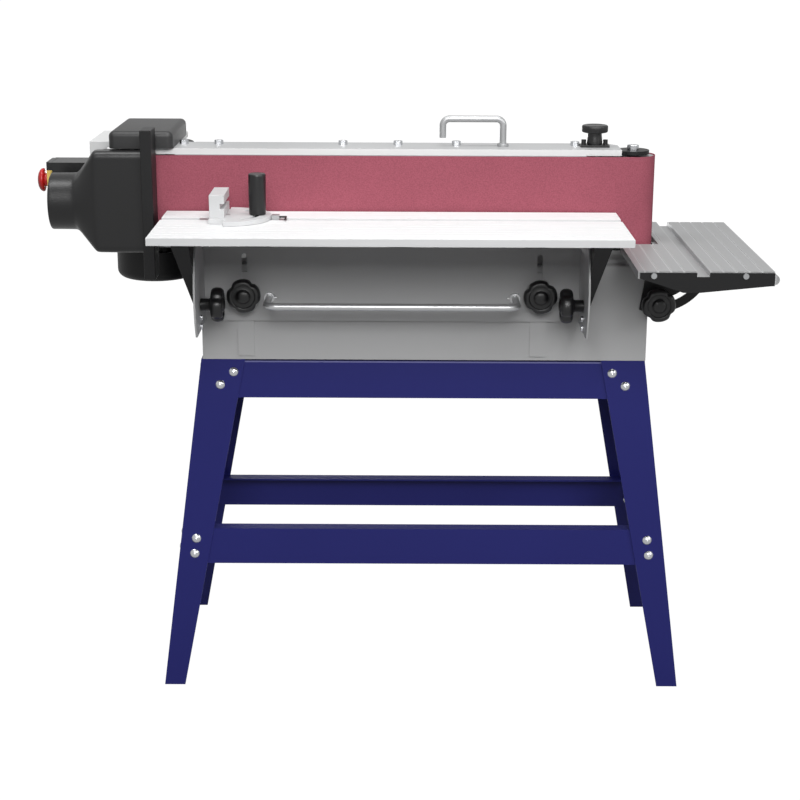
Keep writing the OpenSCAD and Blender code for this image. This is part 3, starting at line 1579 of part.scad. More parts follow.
// Grooved table with a mitre slot, a cut-out round the belt end, end plates and their screws
module end_table() {
  color("#b9bcbe") difference() {
    translate([0, end_y0, 0]) along_y(end_y1 - end_y0) end_section();
    block(end_x0 - over, idler_x + loop_r + notch_gap, -loop_r - notch_gap, loop_r + notch_gap,
        end_z - end_t - over,
      end_z + over);
    for (x = escrew_x) translate([end_x0 + x, end_y0 - over, end_z - escrew_z])
      ycyl(escrew_r, end_y1 - end_y0 + 2 * over);
  }
  color("#2a2b2e") for (y = [end_y0 - eplate_t, end_y1]) translate([0, y, 0]) along_y(eplate_t)
      eplate_outline();
  color("#d6d8da") for (x = escrew_x) for (s = [0, 1])
    translate([end_x0 + x, s == 0 ? end_y0 - eplate_t : end_y1 + eplate_t, end_z - escrew_z])
        mirror([0, s, 0]) {
      translate([0, -ehead_h, 0]) ycyl(ehead_r, ehead_h);
      ycyl(escrew_r, escrew_l);
    }
}

// Outline of a quadrant round the tilt axis: top bar, slotted fan
module quad_outline() {
  difference() {
    union() {
      translate([-quad_left, 0]) square([quad_left + quad_w, etilt_d - end_t]);
      intersection() {
        circle(quad_out);
        polygon([[0, 0], [quad_w, 0], [quad_out, -quad_w], [quad_out, -quad_out], [-quad_w / 2, -quad_out],
          [-quad_back, 0]]);
      }
    }
    circle(etilt_r + fit);
    intersection() {
      difference() {
        circle(quad_r + quad_slot);
        circle(quad_r - quad_slot);
      }
      polygon([[0, 0], [0, -quad_out], [quad_out, -quad_out], [quad_out, -quad_r]]);
    }
    translate([0, -quad_r]) circle(quad_slot);
    rotate(-atan(quad_r / quad_out)) translate([quad_r, 0]) circle(quad_slot);
  }
}

// Outline of the rear ear round the tilt axis
module ear_outline() {
  difference() {
    union() {
      translate([-ear_r, 0]) square([2 * ear_r, etilt_d - end_t]);
      circle(ear_r);
    }
    circle(etilt_r + fit);
  }
}

module end_quadrants() {
  color("#17181a") {
    translate([etilt_x, ebr_y0 - quad_gap - quad_t, etilt_z]) along_y(quad_t) quad_outline();
    translate([etilt_x, ebr_y1 + quad_gap, etilt_z]) along_y(quad_t) ear_outline();
  }
}

// Brackets on the cabinet's end wall, each with a tilt pin
module end_brackets() {
  color("#1d1e20") for (s = [0, 1]) translate([0, s == 0 ? ebr_y0 : ebr_y1, 0]) mirror([0, s, 0]) {
    difference() {
      union() {
        block(body_x + body_hx, body_x + body_hx + ebr_w, 0, ebr_t, etilt_z - quad_r - ebr_down, etilt_z);
        translate([etilt_x, 0, etilt_z]) ycyl(ebr_up, ebr_t);
      }
      if (s == 0) translate([etilt_x, -over, etilt_z - quad_r]) ycyl(screw_r + fit, ebr_t + 2 * over);
    }
    block(body_x + body_hx, body_x + body_hx + ebr_t / 2, ebr_t, ebr_leg, etilt_z - quad_r - ebr_down,
      body_z1 - body_band);
    translate([etilt_x, -quad_gap - quad_t, etilt_z]) ycyl(etilt_r, quad_gap + quad_t + ebr_t);
  }
}

module end_knob() {
  color("#17181a") translate([etilt_x, ebr_y0 - quad_gap - quad_t - slide_gap, etilt_z - quad_r])
      rotate([90, 0, 0])
    star_knob(slide_gap + quad_t + quad_gap + ebr_t);
}

leg_front_left();
leg_front_right();
leg_rear_left();
leg_rear_right();
rail_top_front();
rail_top_rear();
rail_top_sides();
rail_low_front();
rail_low_rear();
rail_low_sides();
stand_bolts();
cabinet();
guide_strips();
base_rail();
head_frame();
platen();
head_cover();
cover_bolts();
rear_guard();
drum_arm();
drum_bearing();
motor_plate();
motor();
fan_cover();
motor_pulley();
drive_belt();
drive_drum();
drive_cap();
idler_yoke();
idler_drum();
axle_bolt();
sanding_belt();
tension_lever();
lever_boss();
tracking_knob();
tracking_base();
dust_hood();
work_stop();
switch_box();
switch_lid();
start_button();
stop_button();
table_carrier();
lift_bar();
lock_knob_left();
lock_knob_right();
main_table();
table_arm_left();
table_arm_right();
tilt_knob_left();
tilt_knob_right();
stop_bolts();
gauge_bar();
gauge_head();
gauge_fence();
gauge_handle();
end_table();
end_quadrants();
end_brackets();
end_knob();
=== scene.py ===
# Edge sander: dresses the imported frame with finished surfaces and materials, in assembly order.
import json
import math
import bmesh
import bpy
import numpy as np
from mathutils import Matrix

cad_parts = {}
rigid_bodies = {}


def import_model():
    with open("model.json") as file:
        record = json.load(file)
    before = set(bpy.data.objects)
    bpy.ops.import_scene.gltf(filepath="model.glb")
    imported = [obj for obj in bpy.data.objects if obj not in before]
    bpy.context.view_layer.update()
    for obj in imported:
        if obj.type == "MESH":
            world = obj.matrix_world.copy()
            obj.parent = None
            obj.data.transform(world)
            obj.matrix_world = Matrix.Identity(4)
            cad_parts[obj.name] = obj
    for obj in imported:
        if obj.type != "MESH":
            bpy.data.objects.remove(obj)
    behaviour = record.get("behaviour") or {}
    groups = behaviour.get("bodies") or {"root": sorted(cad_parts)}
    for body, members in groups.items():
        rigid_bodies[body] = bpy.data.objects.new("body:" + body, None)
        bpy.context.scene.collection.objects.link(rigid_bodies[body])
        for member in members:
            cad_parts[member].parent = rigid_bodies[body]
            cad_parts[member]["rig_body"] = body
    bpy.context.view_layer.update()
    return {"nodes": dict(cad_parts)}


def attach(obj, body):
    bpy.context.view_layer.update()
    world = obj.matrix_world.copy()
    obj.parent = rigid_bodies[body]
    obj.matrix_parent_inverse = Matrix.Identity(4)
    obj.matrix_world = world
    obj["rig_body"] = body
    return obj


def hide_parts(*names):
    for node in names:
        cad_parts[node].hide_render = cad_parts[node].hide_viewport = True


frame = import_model()
scene = bpy.context.scene
scene.view_settings.view_transform = "Standard"

# Studio: a pale floor without a horizon, a soft key light in front, a weaker fill from the right, a wide
# top light and a low back light. The camera stands in front, a little above the tables.
camera_place, camera_pitch, camera_roll = (0.021, -2.823, 1.3126), math.radians(74.0), 0.0044
camera_data = bpy.data.cameras.new("camera")
camera_data.sensor_width = 36.0
camera_data.lens = 76.5
camera = bpy.data.objects.new("camera", camera_data)
camera.matrix_world = (Matrix.Translation(camera_place) @ Matrix.Rotation(camera_pitch, 4, "X")
                       @ Matrix.Rotation(camera_roll, 4, "Z"))
scene.collection.objects.link(camera)
scene.camera = camera


def area_light(name, place, aim, size, watts):
    """A lamp of a given width and height at one point that looks at another."""
    data = bpy.data.lights.new(name, "AREA")
    data.shape = "RECTANGLE"
    data.size, data.size_y = size
    data.energy = watts
    lamp = bpy.data.objects.new(name, data)
    back = np.array(place) - np.array(aim)
    back /= np.linalg.norm(back)
    right = np.cross((0.0, 0.0, 1.0), back)
    right /= np.linalg.norm(right)
    turn = Matrix(np.array([right, np.cross(back, right), back]).T.tolist()).to_4x4()
    lamp.matrix_world = Matrix.Translation(place) @ turn
    scene.collection.objects.link(lamp)


area_light("key_light", (0.15, -2.9, 2.45), (0.0, 0.0, 0.75), (1.7, 1.7), 85.0)
area_light("fill_light", (2.6, -1.6, 2.3), (0.0, 0.0, 0.7), (1.6, 1.6), 29.0)
area_light("top_light", (-0.2, -0.3, 2.9), (-0.2, 0.0, 0.9), (2.4, 0.8), 38.0)
area_light("back_light", (-0.5, 3.4, 0.55), (0.0, 0.2, 0.6), (0.7, 0.7), 14.0)


def math_node(nodes, operation, value=None):
    """A node that works on two numbers, of which the second can be fixed."""
    node = nodes.new("ShaderNodeMath")
    node.operation = operation
    if value is not None:
        node.inputs[1].default_value = value
    return node


def connect(tree, *pairs):
    """Links each output to the input beside it."""
    for start, end in pairs:
        tree.links.new(start, end)


# Camera rays see plain white, mirror rays a share of it, and the rest a weak soft light.
mirror_share_sky, mirror_share_floor = 0.7, 0.55
world = bpy.data.worlds.new("studio")
scene.world = world
world.use_nodes = True
sky = world.node_tree.nodes
sky.clear()
sky_rays = sky.new("ShaderNodeLightPath")
white = sky.new("ShaderNodeBackground")
white.inputs["Color"].default_value = (1.0, 1.0, 1.0, 1.0)
white.inputs["Strength"].default_value = 1.0
soft = sky.new("ShaderNodeBackground")
soft.inputs["Color"].default_value = (0.97, 0.98, 1.0, 1.0)
soft.inputs["Strength"].default_value = 0.05
clear_ray = math_node(sky, "MAXIMUM")
any_ray = math_node(sky, "MAXIMUM")
mirror_ray = math_node(sky, "MULTIPLY", mirror_share_sky)
sky_pick = sky.new("ShaderNodeMixShader")
sky_out = sky.new("ShaderNodeOutputWorld")
connect(world.node_tree,
        (sky_rays.outputs["Is Camera Ray"], clear_ray.inputs[0]),
        (sky_rays.outputs["Is Transmission Ray"], clear_ray.inputs[1]),
        (sky_rays.outputs["Is Glossy Ray"], mirror_ray.inputs[0]),
        (clear_ray.outputs[0], any_ray.inputs[0]),
        (mirror_ray.outputs[0], any_ray.inputs[1]),
        (any_ray.outputs[0], sky_pick.inputs["Fac"]),
        (soft.outputs[0], sky_pick.inputs[1]),
        (white.outputs[0], sky_pick.inputs[2]),
        (sky_pick.outputs[0], sky_out.inputs["Surface"]))

floor_side, floor_near, floor_far, floor_z = 60.0, -9.0, 90.0, -0.0005
floor_corners = [(-floor_side, floor_near, floor_z), (floor_side, floor_near, floor_z),
                 (floor_side, floor_far, floor_z), (-floor_side, floor_far, floor_z)]
floor_mesh = bpy.data.meshes.new("floor")
floor_mesh.from_pydata(floor_corners, [], [(0, 1, 2, 3)])
floor = bpy.data.objects.new("floor", floor_mesh)
scene.collection.objects.link(floor)
floor_look = bpy.data.materials.new("pale_floor")
floor_look.use_nodes = True
ground = floor_look.node_tree.nodes
ground.clear()
floor_rays = ground.new("ShaderNodeLightPath")
glow = ground.new("ShaderNodeEmission")
glow.inputs["Strength"].default_value = 1.1
paper = ground.new("ShaderNodeBsdfDiffuse")
paper.inputs["Color"].default_value = (0.2, 0.2, 0.2, 1.0)
part_glow = ground.new("ShaderNodeMixShader")
part_glow.inputs["Fac"].default_value = 0.94
floor_mirror = math_node(ground, "MULTIPLY", mirror_share_floor)
floor_any = math_node(ground, "MAXIMUM")
floor_pick = ground.new("ShaderNodeMixShader")
floor_out = ground.new("ShaderNodeOutputMaterial")
connect(floor_look.node_tree,
        (floor_rays.outputs["Is Camera Ray"], floor_any.inputs[0]),
        (floor_rays.outputs["Is Glossy Ray"], floor_mirror.inputs[0]),
        (floor_mirror.outputs[0], floor_any.inputs[1]),
        (paper.outputs[0], part_glow.inputs[1]),
        (glow.outputs[0], part_glow.inputs[2]),
        (floor_any.outputs[0], floor_pick.inputs["Fac"]),
        (paper.outputs[0], floor_pick.inputs[1]),
        (part_glow.outputs[0], floor_pick.inputs[2]),
        (floor_pick.outputs[0], floor_out.inputs["Surface"]))
floor_mesh.materials.append(floor_look)


# Stand: four splayed legs and eight rails, folded from 3 mm steel sheet, sprayed with semi-gloss navy
# paint and bolted together. The edges of the sheet are eased, so they catch the light, and along the top
# of the front rail a painted shadow and a painted highlight stand for the light on the fold.
def eased(node, width, look):
    """A copy of a solid with its doubles merged, its flat faces joined and its sharp edges rounded."""
    merge, flat, sharp = 2e-6, math.radians(0.6), math.radians(35.0)
    shape = frame["nodes"][node].data.copy()
    shape.materials.clear()
    shape.materials.append(look)
    work = bmesh.new()
    work.from_mesh(shape)
    bmesh.ops.remove_doubles(work, verts=work.verts, dist=merge)
    bmesh.ops.dissolve_limit(work, angle_limit=flat, verts=work.verts, edges=work.edges)
    for edge in work.edges:
        edge.smooth = len(edge.link_faces) == 2 and edge.calc_face_angle(math.pi) < sharp
    for face in work.faces:
        face.smooth = True
    work.to_mesh(shape)
    work.free()
    piece = bpy.data.objects.new(node + "_finished", shape)
    scene.collection.objects.link(piece)
    rounding = piece.modifiers.new("eased_edges", "BEVEL")
    rounding.width = width
    rounding.segments = 2
    rounding.limit_method = "ANGLE"
    rounding.angle_limit = sharp
    rounding.harden_normals = True
    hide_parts(node)
    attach(piece, frame["nodes"][node]["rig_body"])
    return piece


def map_range(nodes, low, high, to_low=0.0, to_high=1.0):
    """A node that turns one range of numbers into another."""
    node = nodes.new("ShaderNodeMapRange")
    for name, value in (("From Min", low), ("From Max", high), ("To Min", to_low), ("To Max", to_high)):
        node.inputs[name].default_value = value
    return node


def noise(nodes, scale, detail):
    """A noise node of a given fineness."""
    node = nodes.new("ShaderNodeTexNoise")
    node.inputs["Scale"].default_value = scale
    node.inputs["Detail"].default_value = detail
    return node


def colour_mix(nodes, second):
    """A node that blends a colour into a second one."""
    node = nodes.new("ShaderNodeMix")
    node.data_type = "RGBA"
    node.inputs["B"].default_value = (*second, 1.0)
    return node


def paint(name, colour, roughness, metallic=0.0, grain=180.0, grain_depth=0.04, blotch=6.0,
          blotch_depth=0.08, stretch=(1.0, 1.0, 1.0), gloss=0.5):
    """Finish on Object coordinates: fine noise for bump and roughness, and a broad one for the tone."""
    look = bpy.data.materials.new(name)
    look.use_nodes = True
    nodes = look.node_tree.nodes
    shader = nodes["Principled BSDF"]
    where = nodes.new("ShaderNodeTexCoord")
    mapped = nodes.new("ShaderNodeMapping")
    mapped.inputs["Scale"].default_value = stretch
    fine = noise(nodes, grain, 4.0)
    broad = noise(nodes, blotch, 3.0)
    tone = colour_mix(nodes, [min(1.0, c * (1.0 + blotch_depth)) for c in colour])
    tone.inputs["A"].default_value = (*[c * (1.0 - blotch_depth) for c in colour], 1.0)
    dull = map_range(nodes, 0.0, 1.0, roughness * 0.9, min(1.0, roughness * 1.12))
    bump = nodes.new("ShaderNodeBump")
    bump.inputs["Strength"].default_value = grain_depth
    bump.inputs["Distance"].default_value = 0.001
    connect(look.node_tree,
            (where.outputs["Object"], mapped.inputs["Vector"]),
            (mapped.outputs["Vector"], fine.inputs["Vector"]),
            (where.outputs["Object"], broad.inputs["Vector"]),
            (broad.outputs["Fac"], tone.inputs["Factor"]),
            (tone.outputs["Result"], shader.inputs["Base Color"]),
            (fine.outputs["Fac"], dull.inputs["Value"]),
            (dull.outputs["Result"], shader.inputs["Roughness"]),
            (fine.outputs["Fac"], bump.inputs["Height"]),
            (bump.outputs["Normal"], shader.inputs["Normal"]))
    shader.inputs["Metallic"].default_value = metallic
    shader.inputs["Specular IOR Level"].default_value = gloss
    return look


def per_face(piece, what):
    """The normal or the center of each face, one row a face."""
    values = np.empty(len(piece.data.polygons) * 3)
    piece.data.polygons.foreach_get(what, values)
    return values.reshape(-1, 3)


def facing(piece, direction, least=0.9):
    """Which faces look along a direction, by the part of their normal that lies on it."""
    return per_face(piece, "normal") @ np.array(direction) > least


def second_look(piece, chosen, look):
    """Gives the chosen faces one more material."""
    piece.data.materials.append(look)
    slots = np.zeros(len(piece.data.polygons), dtype=np.int32)
    piece.data.polygons.foreach_get("material_index", slots)
    slots[chosen] = len(piece.data.materials) - 1
    piece.data.polygons.foreach_set("material_index", slots)


def box_of(node):
    """The lowest and the highest corner of a solid."""
    corners = np.array(frame["nodes"][node].bound_box, dtype=float)
    return corners.min(axis=0), corners.max(axis=0)


def level_cut(piece, heights):
    """Cuts the faces of a piece along level lines, so that each band can have its own look."""
    sliced = bmesh.new()
    sliced.from_mesh(piece.data)
    for z in heights:
        bmesh.ops.bisect_plane(sliced, geom=sliced.verts[:] + sliced.edges[:] + sliced.faces[:],
                               plane_co=(0.0, 0.0, z), plane_no=(0.0, 0.0, 1.0))
    sliced.to_mesh(piece.data)
    sliced.free()


navy, navy_grain = (0.017, 0.019, 0.15), {"grain": 420.0, "grain_depth": 0.05}
navy_paint = paint("navy_paint", navy, 0.4, blotch=4.0, gloss=0.22, **navy_grain)
flange_paint = paint("flange_paint", navy, 0.6, blotch=4.0, gloss=0.15, **navy_grain)
# Painted shadow and painted highlight for the fold along the top of the front rail: a dark band above a light
# one.
painted_fold_shadow = paint("painted_fold_shadow", (0.006, 0.006, 0.045), 0.55, gloss=0.2, **navy_grain)
painted_fold_highlight = paint("painted_fold_highlight", (0.15, 0.155, 0.36), 0.4, gloss=0.3, **navy_grain)
easing, rail_easing, painted_fold_depth, painted_shadow_depth = 0.0008, 0.0016, 0.006, 0.0035
up, forward = (0, 0, 1), (0, -1, 0)
rail_top = box_of("rail_top_front")[1][2]
fold_low, fold_high = rail_top - painted_fold_depth, rail_top - painted_shadow_depth
for node in ("leg_front_left", "leg_front_right", "leg_rear_left", "leg_rear_right",
             "rail_top_front", "rail_top_rear", "rail_top_sides",
             "rail_low_front", "rail_low_rear", "rail_low_sides"):
    piece = eased(node, rail_easing if node.startswith("rail") else easing, navy_paint)
    if node.startswith("rail_low"):
        second_look(piece, facing(piece, up), flange_paint)
    # The top of the rail's front face gets a painted shadow, and the band under it gets a painted highlight.
    if node == "rail_top_front":
        level_cut(piece, (fold_low, fold_high))
        height = np.where(facing(piece, forward, 0.5), per_face(piece, "center")[:, 2], 0.0)
        second_look(piece, height > fold_high, painted_fold_shadow)
        second_look(piece, (height > fold_low) & (height < fold_high), painted_fold_highlight)

# Stand bolts: domed carriage heads outside and hex nuts inside, of steel with bright zinc plate. They
# clamp each rail to its legs.
zinc_plate = paint("zinc_plate", (0.62, 0.63, 0.65), 0.24, metallic=1.0, grain=900.0, grain_depth=0.03,
                   blotch=60.0)
bolt_looks = frame["nodes"]["stand_bolts"].data.materials
bolt_looks.clear()
bolt_looks.append(zinc_plate)

# Cabinet: grey painted steel sheets with tight folds, open below, standing on the upper rails. It carries
# the guide strips of the table, the base rail with its posts, and the rear guard.
grey_paint = paint("grey_paint", (0.51, 0.512, 0.515), 0.45, grain=500.0, grain_depth=0.06, blotch=5.0,
                   blotch_depth=0.04, gloss=0.35)
for node in ("cabinet", "guide_strips", "base_rail", "rear_guard"):
    eased(node, easing, grey_paint)

# Sanding head: a welded steel box inside the belt with its graphite-faced platen, and the pale painted
# motor plate. Hex bolts hold the long folded cover above, whose top faces carry painted shade in a darker
# grey.
small_easing = 0.0006
bare_steel = paint("bare_steel", (0.42, 0.43, 0.44), 0.38, metallic=1.0, grain=300.0, blotch=20.0)
pale_paint = paint("pale_paint", (0.72, 0.725, 0.725), 0.42, grain=500.0, grain_depth=0.05, blotch=5.0,
                   blotch_depth=0.04, gloss=0.35)
graphite = paint("graphite", (0.03, 0.03, 0.033), 0.55, grain=300.0)
# A darker, part-metallic grey for the top faces of the cover: painted shade.
shaded_cover_top = paint("shaded_cover_top", (0.48, 0.485, 0.49), 0.45, metallic=0.3, grain=400.0, grain_depth=0.05,
                   blotch=4.0, blotch_depth=0.25, stretch=(0.05, 1.0, 1.0), gloss=0.4)
for node, look in (("head_frame", bare_steel), ("drum_arm", bare_steel), ("drum_bearing", bare_steel),
                   ("platen", graphite), ("motor_plate", pale_paint)):
    eased(node, small_easing, look)
cover = eased("head_cover", small_easing, pale_paint)
# Painted shade: the cover's top faces are darker than its front.
second_look(cover, facing(cover, up), shaded_cover_top)
eased("cover_bolts", small_easing, zinc_plate)

# Drive: a finned cast motor with a pressed fan cover, two pulleys and a rubber belt, under a black cap
# moulded as one shell with round edges.
fine_easing = 0.0004
black_paint = paint("black_paint", (0.006, 0.006, 0.0065), 0.45, grain=350.0, grain_depth=0.1, blotch=8.0,
                    gloss=0.3)
black_plastic = paint("black_plastic", (0.0055, 0.0055, 0.006), 0.33, grain=700.0, grain_depth=0.16,
                      blotch=10.0, gloss=0.5)
matt_plastic = paint("matt_plastic", (0.012, 0.012, 0.0125), 0.45, grain=700.0, grain_depth=0.1,
                     blotch=10.0, gloss=0.5)
rubber = paint("rubber", (0.01, 0.01, 0.01), 0.8, grain=400.0, grain_depth=0.2, gloss=0.2)
for node, width, look in (("motor", easing, black_paint), ("fan_cover", small_easing, black_paint),
                          ("motor_pulley", fine_easing, bare_steel), ("drive_drum", small_easing, bare_steel),
                          ("drive_belt", small_easing, rubber)):
    eased(node, width, look)


def surface(name, points, look, node=None, closed_ends=True):
    """A mesh over a grid of rings: each ring joins the next, and one face can close each end ring."""
    rings, around = points.shape[:2]
    index = np.arange(rings * around).reshape(rings, around)
    low, high = index[:-1], index[1:]
    quads = np.stack([low, np.roll(low, -1, 1), np.roll(high, -1, 1), high], -1)
    faces = quads.reshape(-1, 4).tolist()
    if closed_ends:
        faces += [index[0, ::-1].tolist(), index[-1].tolist()]
    shape = bpy.data.meshes.new(name)
    shape.from_pydata(points.reshape(-1, 3).tolist(), [], faces)
    shape.polygons.foreach_set("use_smooth", np.ones(len(faces), dtype=bool))
    shape.set_sharp_from_angle(angle=math.radians(40.0))
    shape.materials.append(look)
    piece = bpy.data.objects.new(name, shape)
    scene.collection.objects.link(piece)
    if node:
        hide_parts(node)
        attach(piece, frame["nodes"][node]["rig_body"])
    return piece


def cap_outline(inset, low, high):
    """A rectangle in plan, drawn in by the inset, its corners rounded by 10 mm less the inset."""
    corner, least = 0.01, 0.0008
    r = max(corner - inset, least)
    x0, y0 = low[0] + inset + r, low[1] + inset + r
    x1, y1 = high[0] - inset - r, high[1] - inset - r
    middle = np.array([(x1, y1), (x0, y1), (x0, y0), (x1, y0)])
    angle = np.radians(np.linspace(0.0, 90.0, 12) + np.array([[0.0], [90.0], [180.0], [270.0]]))
    return (middle[:, None] + r * np.stack([np.cos(angle), np.sin(angle)], -1)).reshape(-1, 2)


def cap_rings(low, high):
    """Inner rings from the ceiling down, then outer rings up and over the rounded top edge."""
    wall, rounding = 0.003, 0.009
    bend = np.radians(np.linspace(0.0, 90.0, 9))
    inset = np.concatenate([[wall, wall, 0.0], rounding * (1.0 - np.cos(bend))])
    level = np.concatenate([[high[2] - wall, low[2], low[2]], high[2] - rounding * (1.0 - np.sin(bend))])
    return np.stack([np.insert(cap_outline(i, low, high), 2, z, axis=1) for i, z in zip(inset, level)])


surface("drive_cap_moulded", cap_rings(*box_of("drive_cap")), matt_plastic, "drive_cap")

# Idler: a turned steel drum on a fixed axle in a black sliding yoke, which the tension lever pushes out.
# A bright hex bolt holds the axle.
for node, look in (("idler_yoke", black_paint), ("idler_drum", bare_steel), ("axle_bolt", zinc_plate)):
    eased(node, easing, look)

# Sanding belt: red aluminium-oxide grain glued on a cloth loop, 150 mm wide. The grains show as a
# fine speckle over broad clouds of wear, and the cut lower edge shows the pale cloth.
belt_easing, pale_cloth = 0.0002, (0.62, 0.42, 0.4)
belt_bottom, grain_from, cloth_up_to = box_of("sanding_belt")[0][2], 0.0025, 0.0005
grit = paint("grit", (0.33, 0.09, 0.122), 0.95, grain=1500.0, grain_depth=0.5, blotch=9.0,
             blotch_depth=0.12, gloss=0.1)
grit_nodes = grit.node_tree.nodes
grit_place = grit_nodes.new("ShaderNodeTexCoord")
grit_axes = grit_nodes.new("ShaderNodeSeparateXYZ")
speck = noise(grit_nodes, 560.0, 3.0)
speck_share = map_range(grit_nodes, 0.35, 0.65, 0.87, 1.13)
speckled = grit_nodes.new("ShaderNodeVectorMath")
speckled.operation = "SCALE"
cut_edge = map_range(grit_nodes, belt_bottom + grain_from, belt_bottom + cloth_up_to)
edge_mix = colour_mix(grit_nodes, pale_cloth)
connect(grit.node_tree,
        (grit_place.outputs["Object"], speck.inputs["Vector"]),
        (speck.outputs["Fac"], speck_share.inputs["Value"]),
        (grit_nodes["Mix"].outputs["Result"], speckled.inputs[0]),
        (speck_share.outputs["Result"], speckled.inputs["Scale"]),
        (grit_place.outputs["Object"], grit_axes.inputs["Vector"]),
        (grit_axes.outputs["Z"], cut_edge.inputs["Value"]),
        (cut_edge.outputs["Result"], edge_mix.inputs["Factor"]),
        (speckled.outputs["Vector"], edge_mix.inputs["A"]),
        (edge_mix.outputs["Result"], grit_nodes["Principled BSDF"].inputs["Base Color"]))
eased("sanding_belt", belt_easing, grit)

# Tension lever: a bent bright rod in a turned boss on the cover. Beside it stands the moulded tracking
# knob with a finely ribbed rim, on a flanged base with two studs.
bright_steel = paint("bright_steel", (0.6, 0.605, 0.61), 0.32, metallic=0.7, grain=600.0,
                     grain_depth=0.02, blotch=30.0)
satin_steel = paint("satin_steel", (0.4, 0.405, 0.41), 0.38, metallic=0.6, grain=600.0,
                    grain_depth=0.02, blotch=30.0)
eased("tension_lever", small_easing, satin_steel)
eased("lever_boss", small_easing, satin_steel)


def spun(profile, seat, out, side, around=96, lobes=None):
    """Rows of radius, height (mm) and weight turned about an axis: radius x (1 - weight x lobes(angle))."""
    rows = np.array(profile, dtype=float) * (0.001, 0.001, 1.0)
    angle = np.linspace(0.0, 2.0 * np.pi, around, endpoint=False)
    cut = lobes(angle) if lobes else np.zeros(around)
    radius = rows[:, :1] * (1.0 - rows[:, 2:] * cut)
    out, side = np.array(out, dtype=float), np.array(side, dtype=float)
    third = np.cross(out, side)
    return (np.array(seat) * 0.001 + rows[:, 1, None, None] * out
            + (radius * np.cos(angle))[..., None] * side + (radius * np.sin(angle))[..., None] * third)


def seat_of(node, profile, out):
    """The point on a solid's axis (mm) from which the profile's top just reaches the solid's outer face."""
    low, high = (corner * 1000.0 for corner in box_of(node))
    to_face = 0.5 * (high - low) @ np.abs(out)
    return 0.5 * (low + high) + (to_face - np.max(profile, axis=0)[1]) * np.array(out)


def ribs(angle):
    """Sixty small round ribs, from a cosine of sixty times the angle."""
    return 0.018 * (0.5 - 0.5 * np.cos(60.0 * angle))


tracking_profile = [
    (0.05, -2.5, 0), (5, -2.5, 0), (5, 4.4, 0), (12.4, 4.4, 0), (13, 5.2, 0), (12.8, 9, 0), (12.2, 15, 0),
    (11.6, 20, 0), (11.8, 22.6, 0), (13, 24, 0), (19, 24, 0.2), (20.8, 24.7, 1), (21.5, 26.2, 1),
    (21.5, 33.6, 1), (20.9, 35.2, 1), (19.4, 36, 0.2), (15, 36, 0), (13.4, 35.4, 0), (6, 35.2, 0),
    (0.05, 35.2, 0)]
right = (1, 0, 0)
tracking_seat = seat_of("tracking_knob", tracking_profile, up)
surface("tracking_knob_turned", spun(tracking_profile, tracking_seat, up, right, 240, ribs),
        black_plastic, "tracking_knob")
eased("tracking_base", easing, black_plastic)


# Dust hood: one blow-moulded black shell round the drive end. Its box section blends into the round
# spigot at the left, the walls are 3 mm thick, and the top is open under the cover where the belt runs.
port_y, port_z, port_r = 0.0, 847.0, 47.0


def hood_outline(inset, count=240):
    """The box section as points evenly spaced along its outline, corners rounded by 11 mm less the inset."""
    y0, y1, z0, z1 = -62.0 + inset, 47.0 - inset, 770.0 + inset, 929.5 - inset
    lip, step, r = 938.0 - inset, -32.0 - inset, 11.0 - inset

    def corner(y, z, start):
        """A quarter circle about a point."""
        angle = np.radians(np.linspace(start, start + 90.0, 12))
        return np.stack([y + r * np.cos(angle), z + r * np.sin(angle)], -1)

    path = np.concatenate([corner(y1 - r, z0 + r, -90.0), corner(y1 - r, z1 - r, 0.0),
                           np.array([(step + 4.0, z1), (step, z1 + 2.0), (step - 2.0, lip)]),
                           corner(y0 + r, lip - r, 90.0), corner(y0 + r, z0 + r, 180.0)])
    path = np.concatenate([path, path[:1]])
    far = np.concatenate([[0.0], np.cumsum(np.linalg.norm(np.diff(path, axis=0), axis=1))])
    want = np.linspace(0.0, far[-1], count, endpoint=False)
    return np.stack([np.interp(want, far, path[:, 0]), np.interp(want, far, path[:, 1])], -1)


def hood_rings(inset, stations):
    """Circle at the left, box outline at the right; between them a straight taper with softened ends."""
    box_middle, box_half = (-7.5, 851.0), (54.5, 80.0)
    taper_start, taper_length, softness, reach = -518.0, 37.0, 0.006, 1.1
    box = hood_outline(inset)
    ray = (box - box_middle) / box_half
    ring = (port_y, port_z) + (port_r - inset) * ray / np.linalg.norm(ray, axis=1)[:, None]
    share = (stations - taper_start) / taper_length
    soft_share = 0.5 * (np.sqrt(share ** 2 + softness) - np.sqrt((share - 1.0) ** 2 + softness) + 1.0)
    ended = np.round(np.clip(share, 0.0, 1.0))
    share = np.clip(np.where(np.abs(share - 0.5) > reach, ended, soft_share), 0.0, 1.0)
    flat = ring + share[:, None, None] * (box - ring)
    along = np.broadcast_to(stations[:, None, None], flat.shape[:2] + (1,))
    return np.concatenate([along, flat], -1) * 0.001


hood_wall, mouth_rounding = 3.0, np.array([1.2, 0.5, 0.1])[:, None, None] * 0.001
hood_x = np.concatenate([[-561.0, -560.6, -559.5], np.linspace(-557.0, -524.0, 9),
                         np.linspace(-522.0, -475.0, 40), np.linspace(-472.0, -400.0, 25), [-398.6, -398.0]])
outer = hood_rings(0.0, hood_x)
inner = hood_rings(hood_wall, hood_x)
mouth = outer[:3, :, 1:]
mouth -= mouth_rounding * (mouth - (port_y * 0.001, port_z * 0.001)) / (port_r * 0.001)
shell = np.concatenate([outer, inner[::-1], outer[:1]])
hood = surface("dust_hood_moulded", shell, black_plastic, "dust_hood", closed_ends=False)


def in_opening(point):
    """Whether a point of the hood lies where its top is open."""
    start_x, front_y, rear_y, start_z = -0.4455, -0.034, 0.0445, 0.9225
    return point.x > start_x and front_y < point.y < rear_y and point.z > start_z


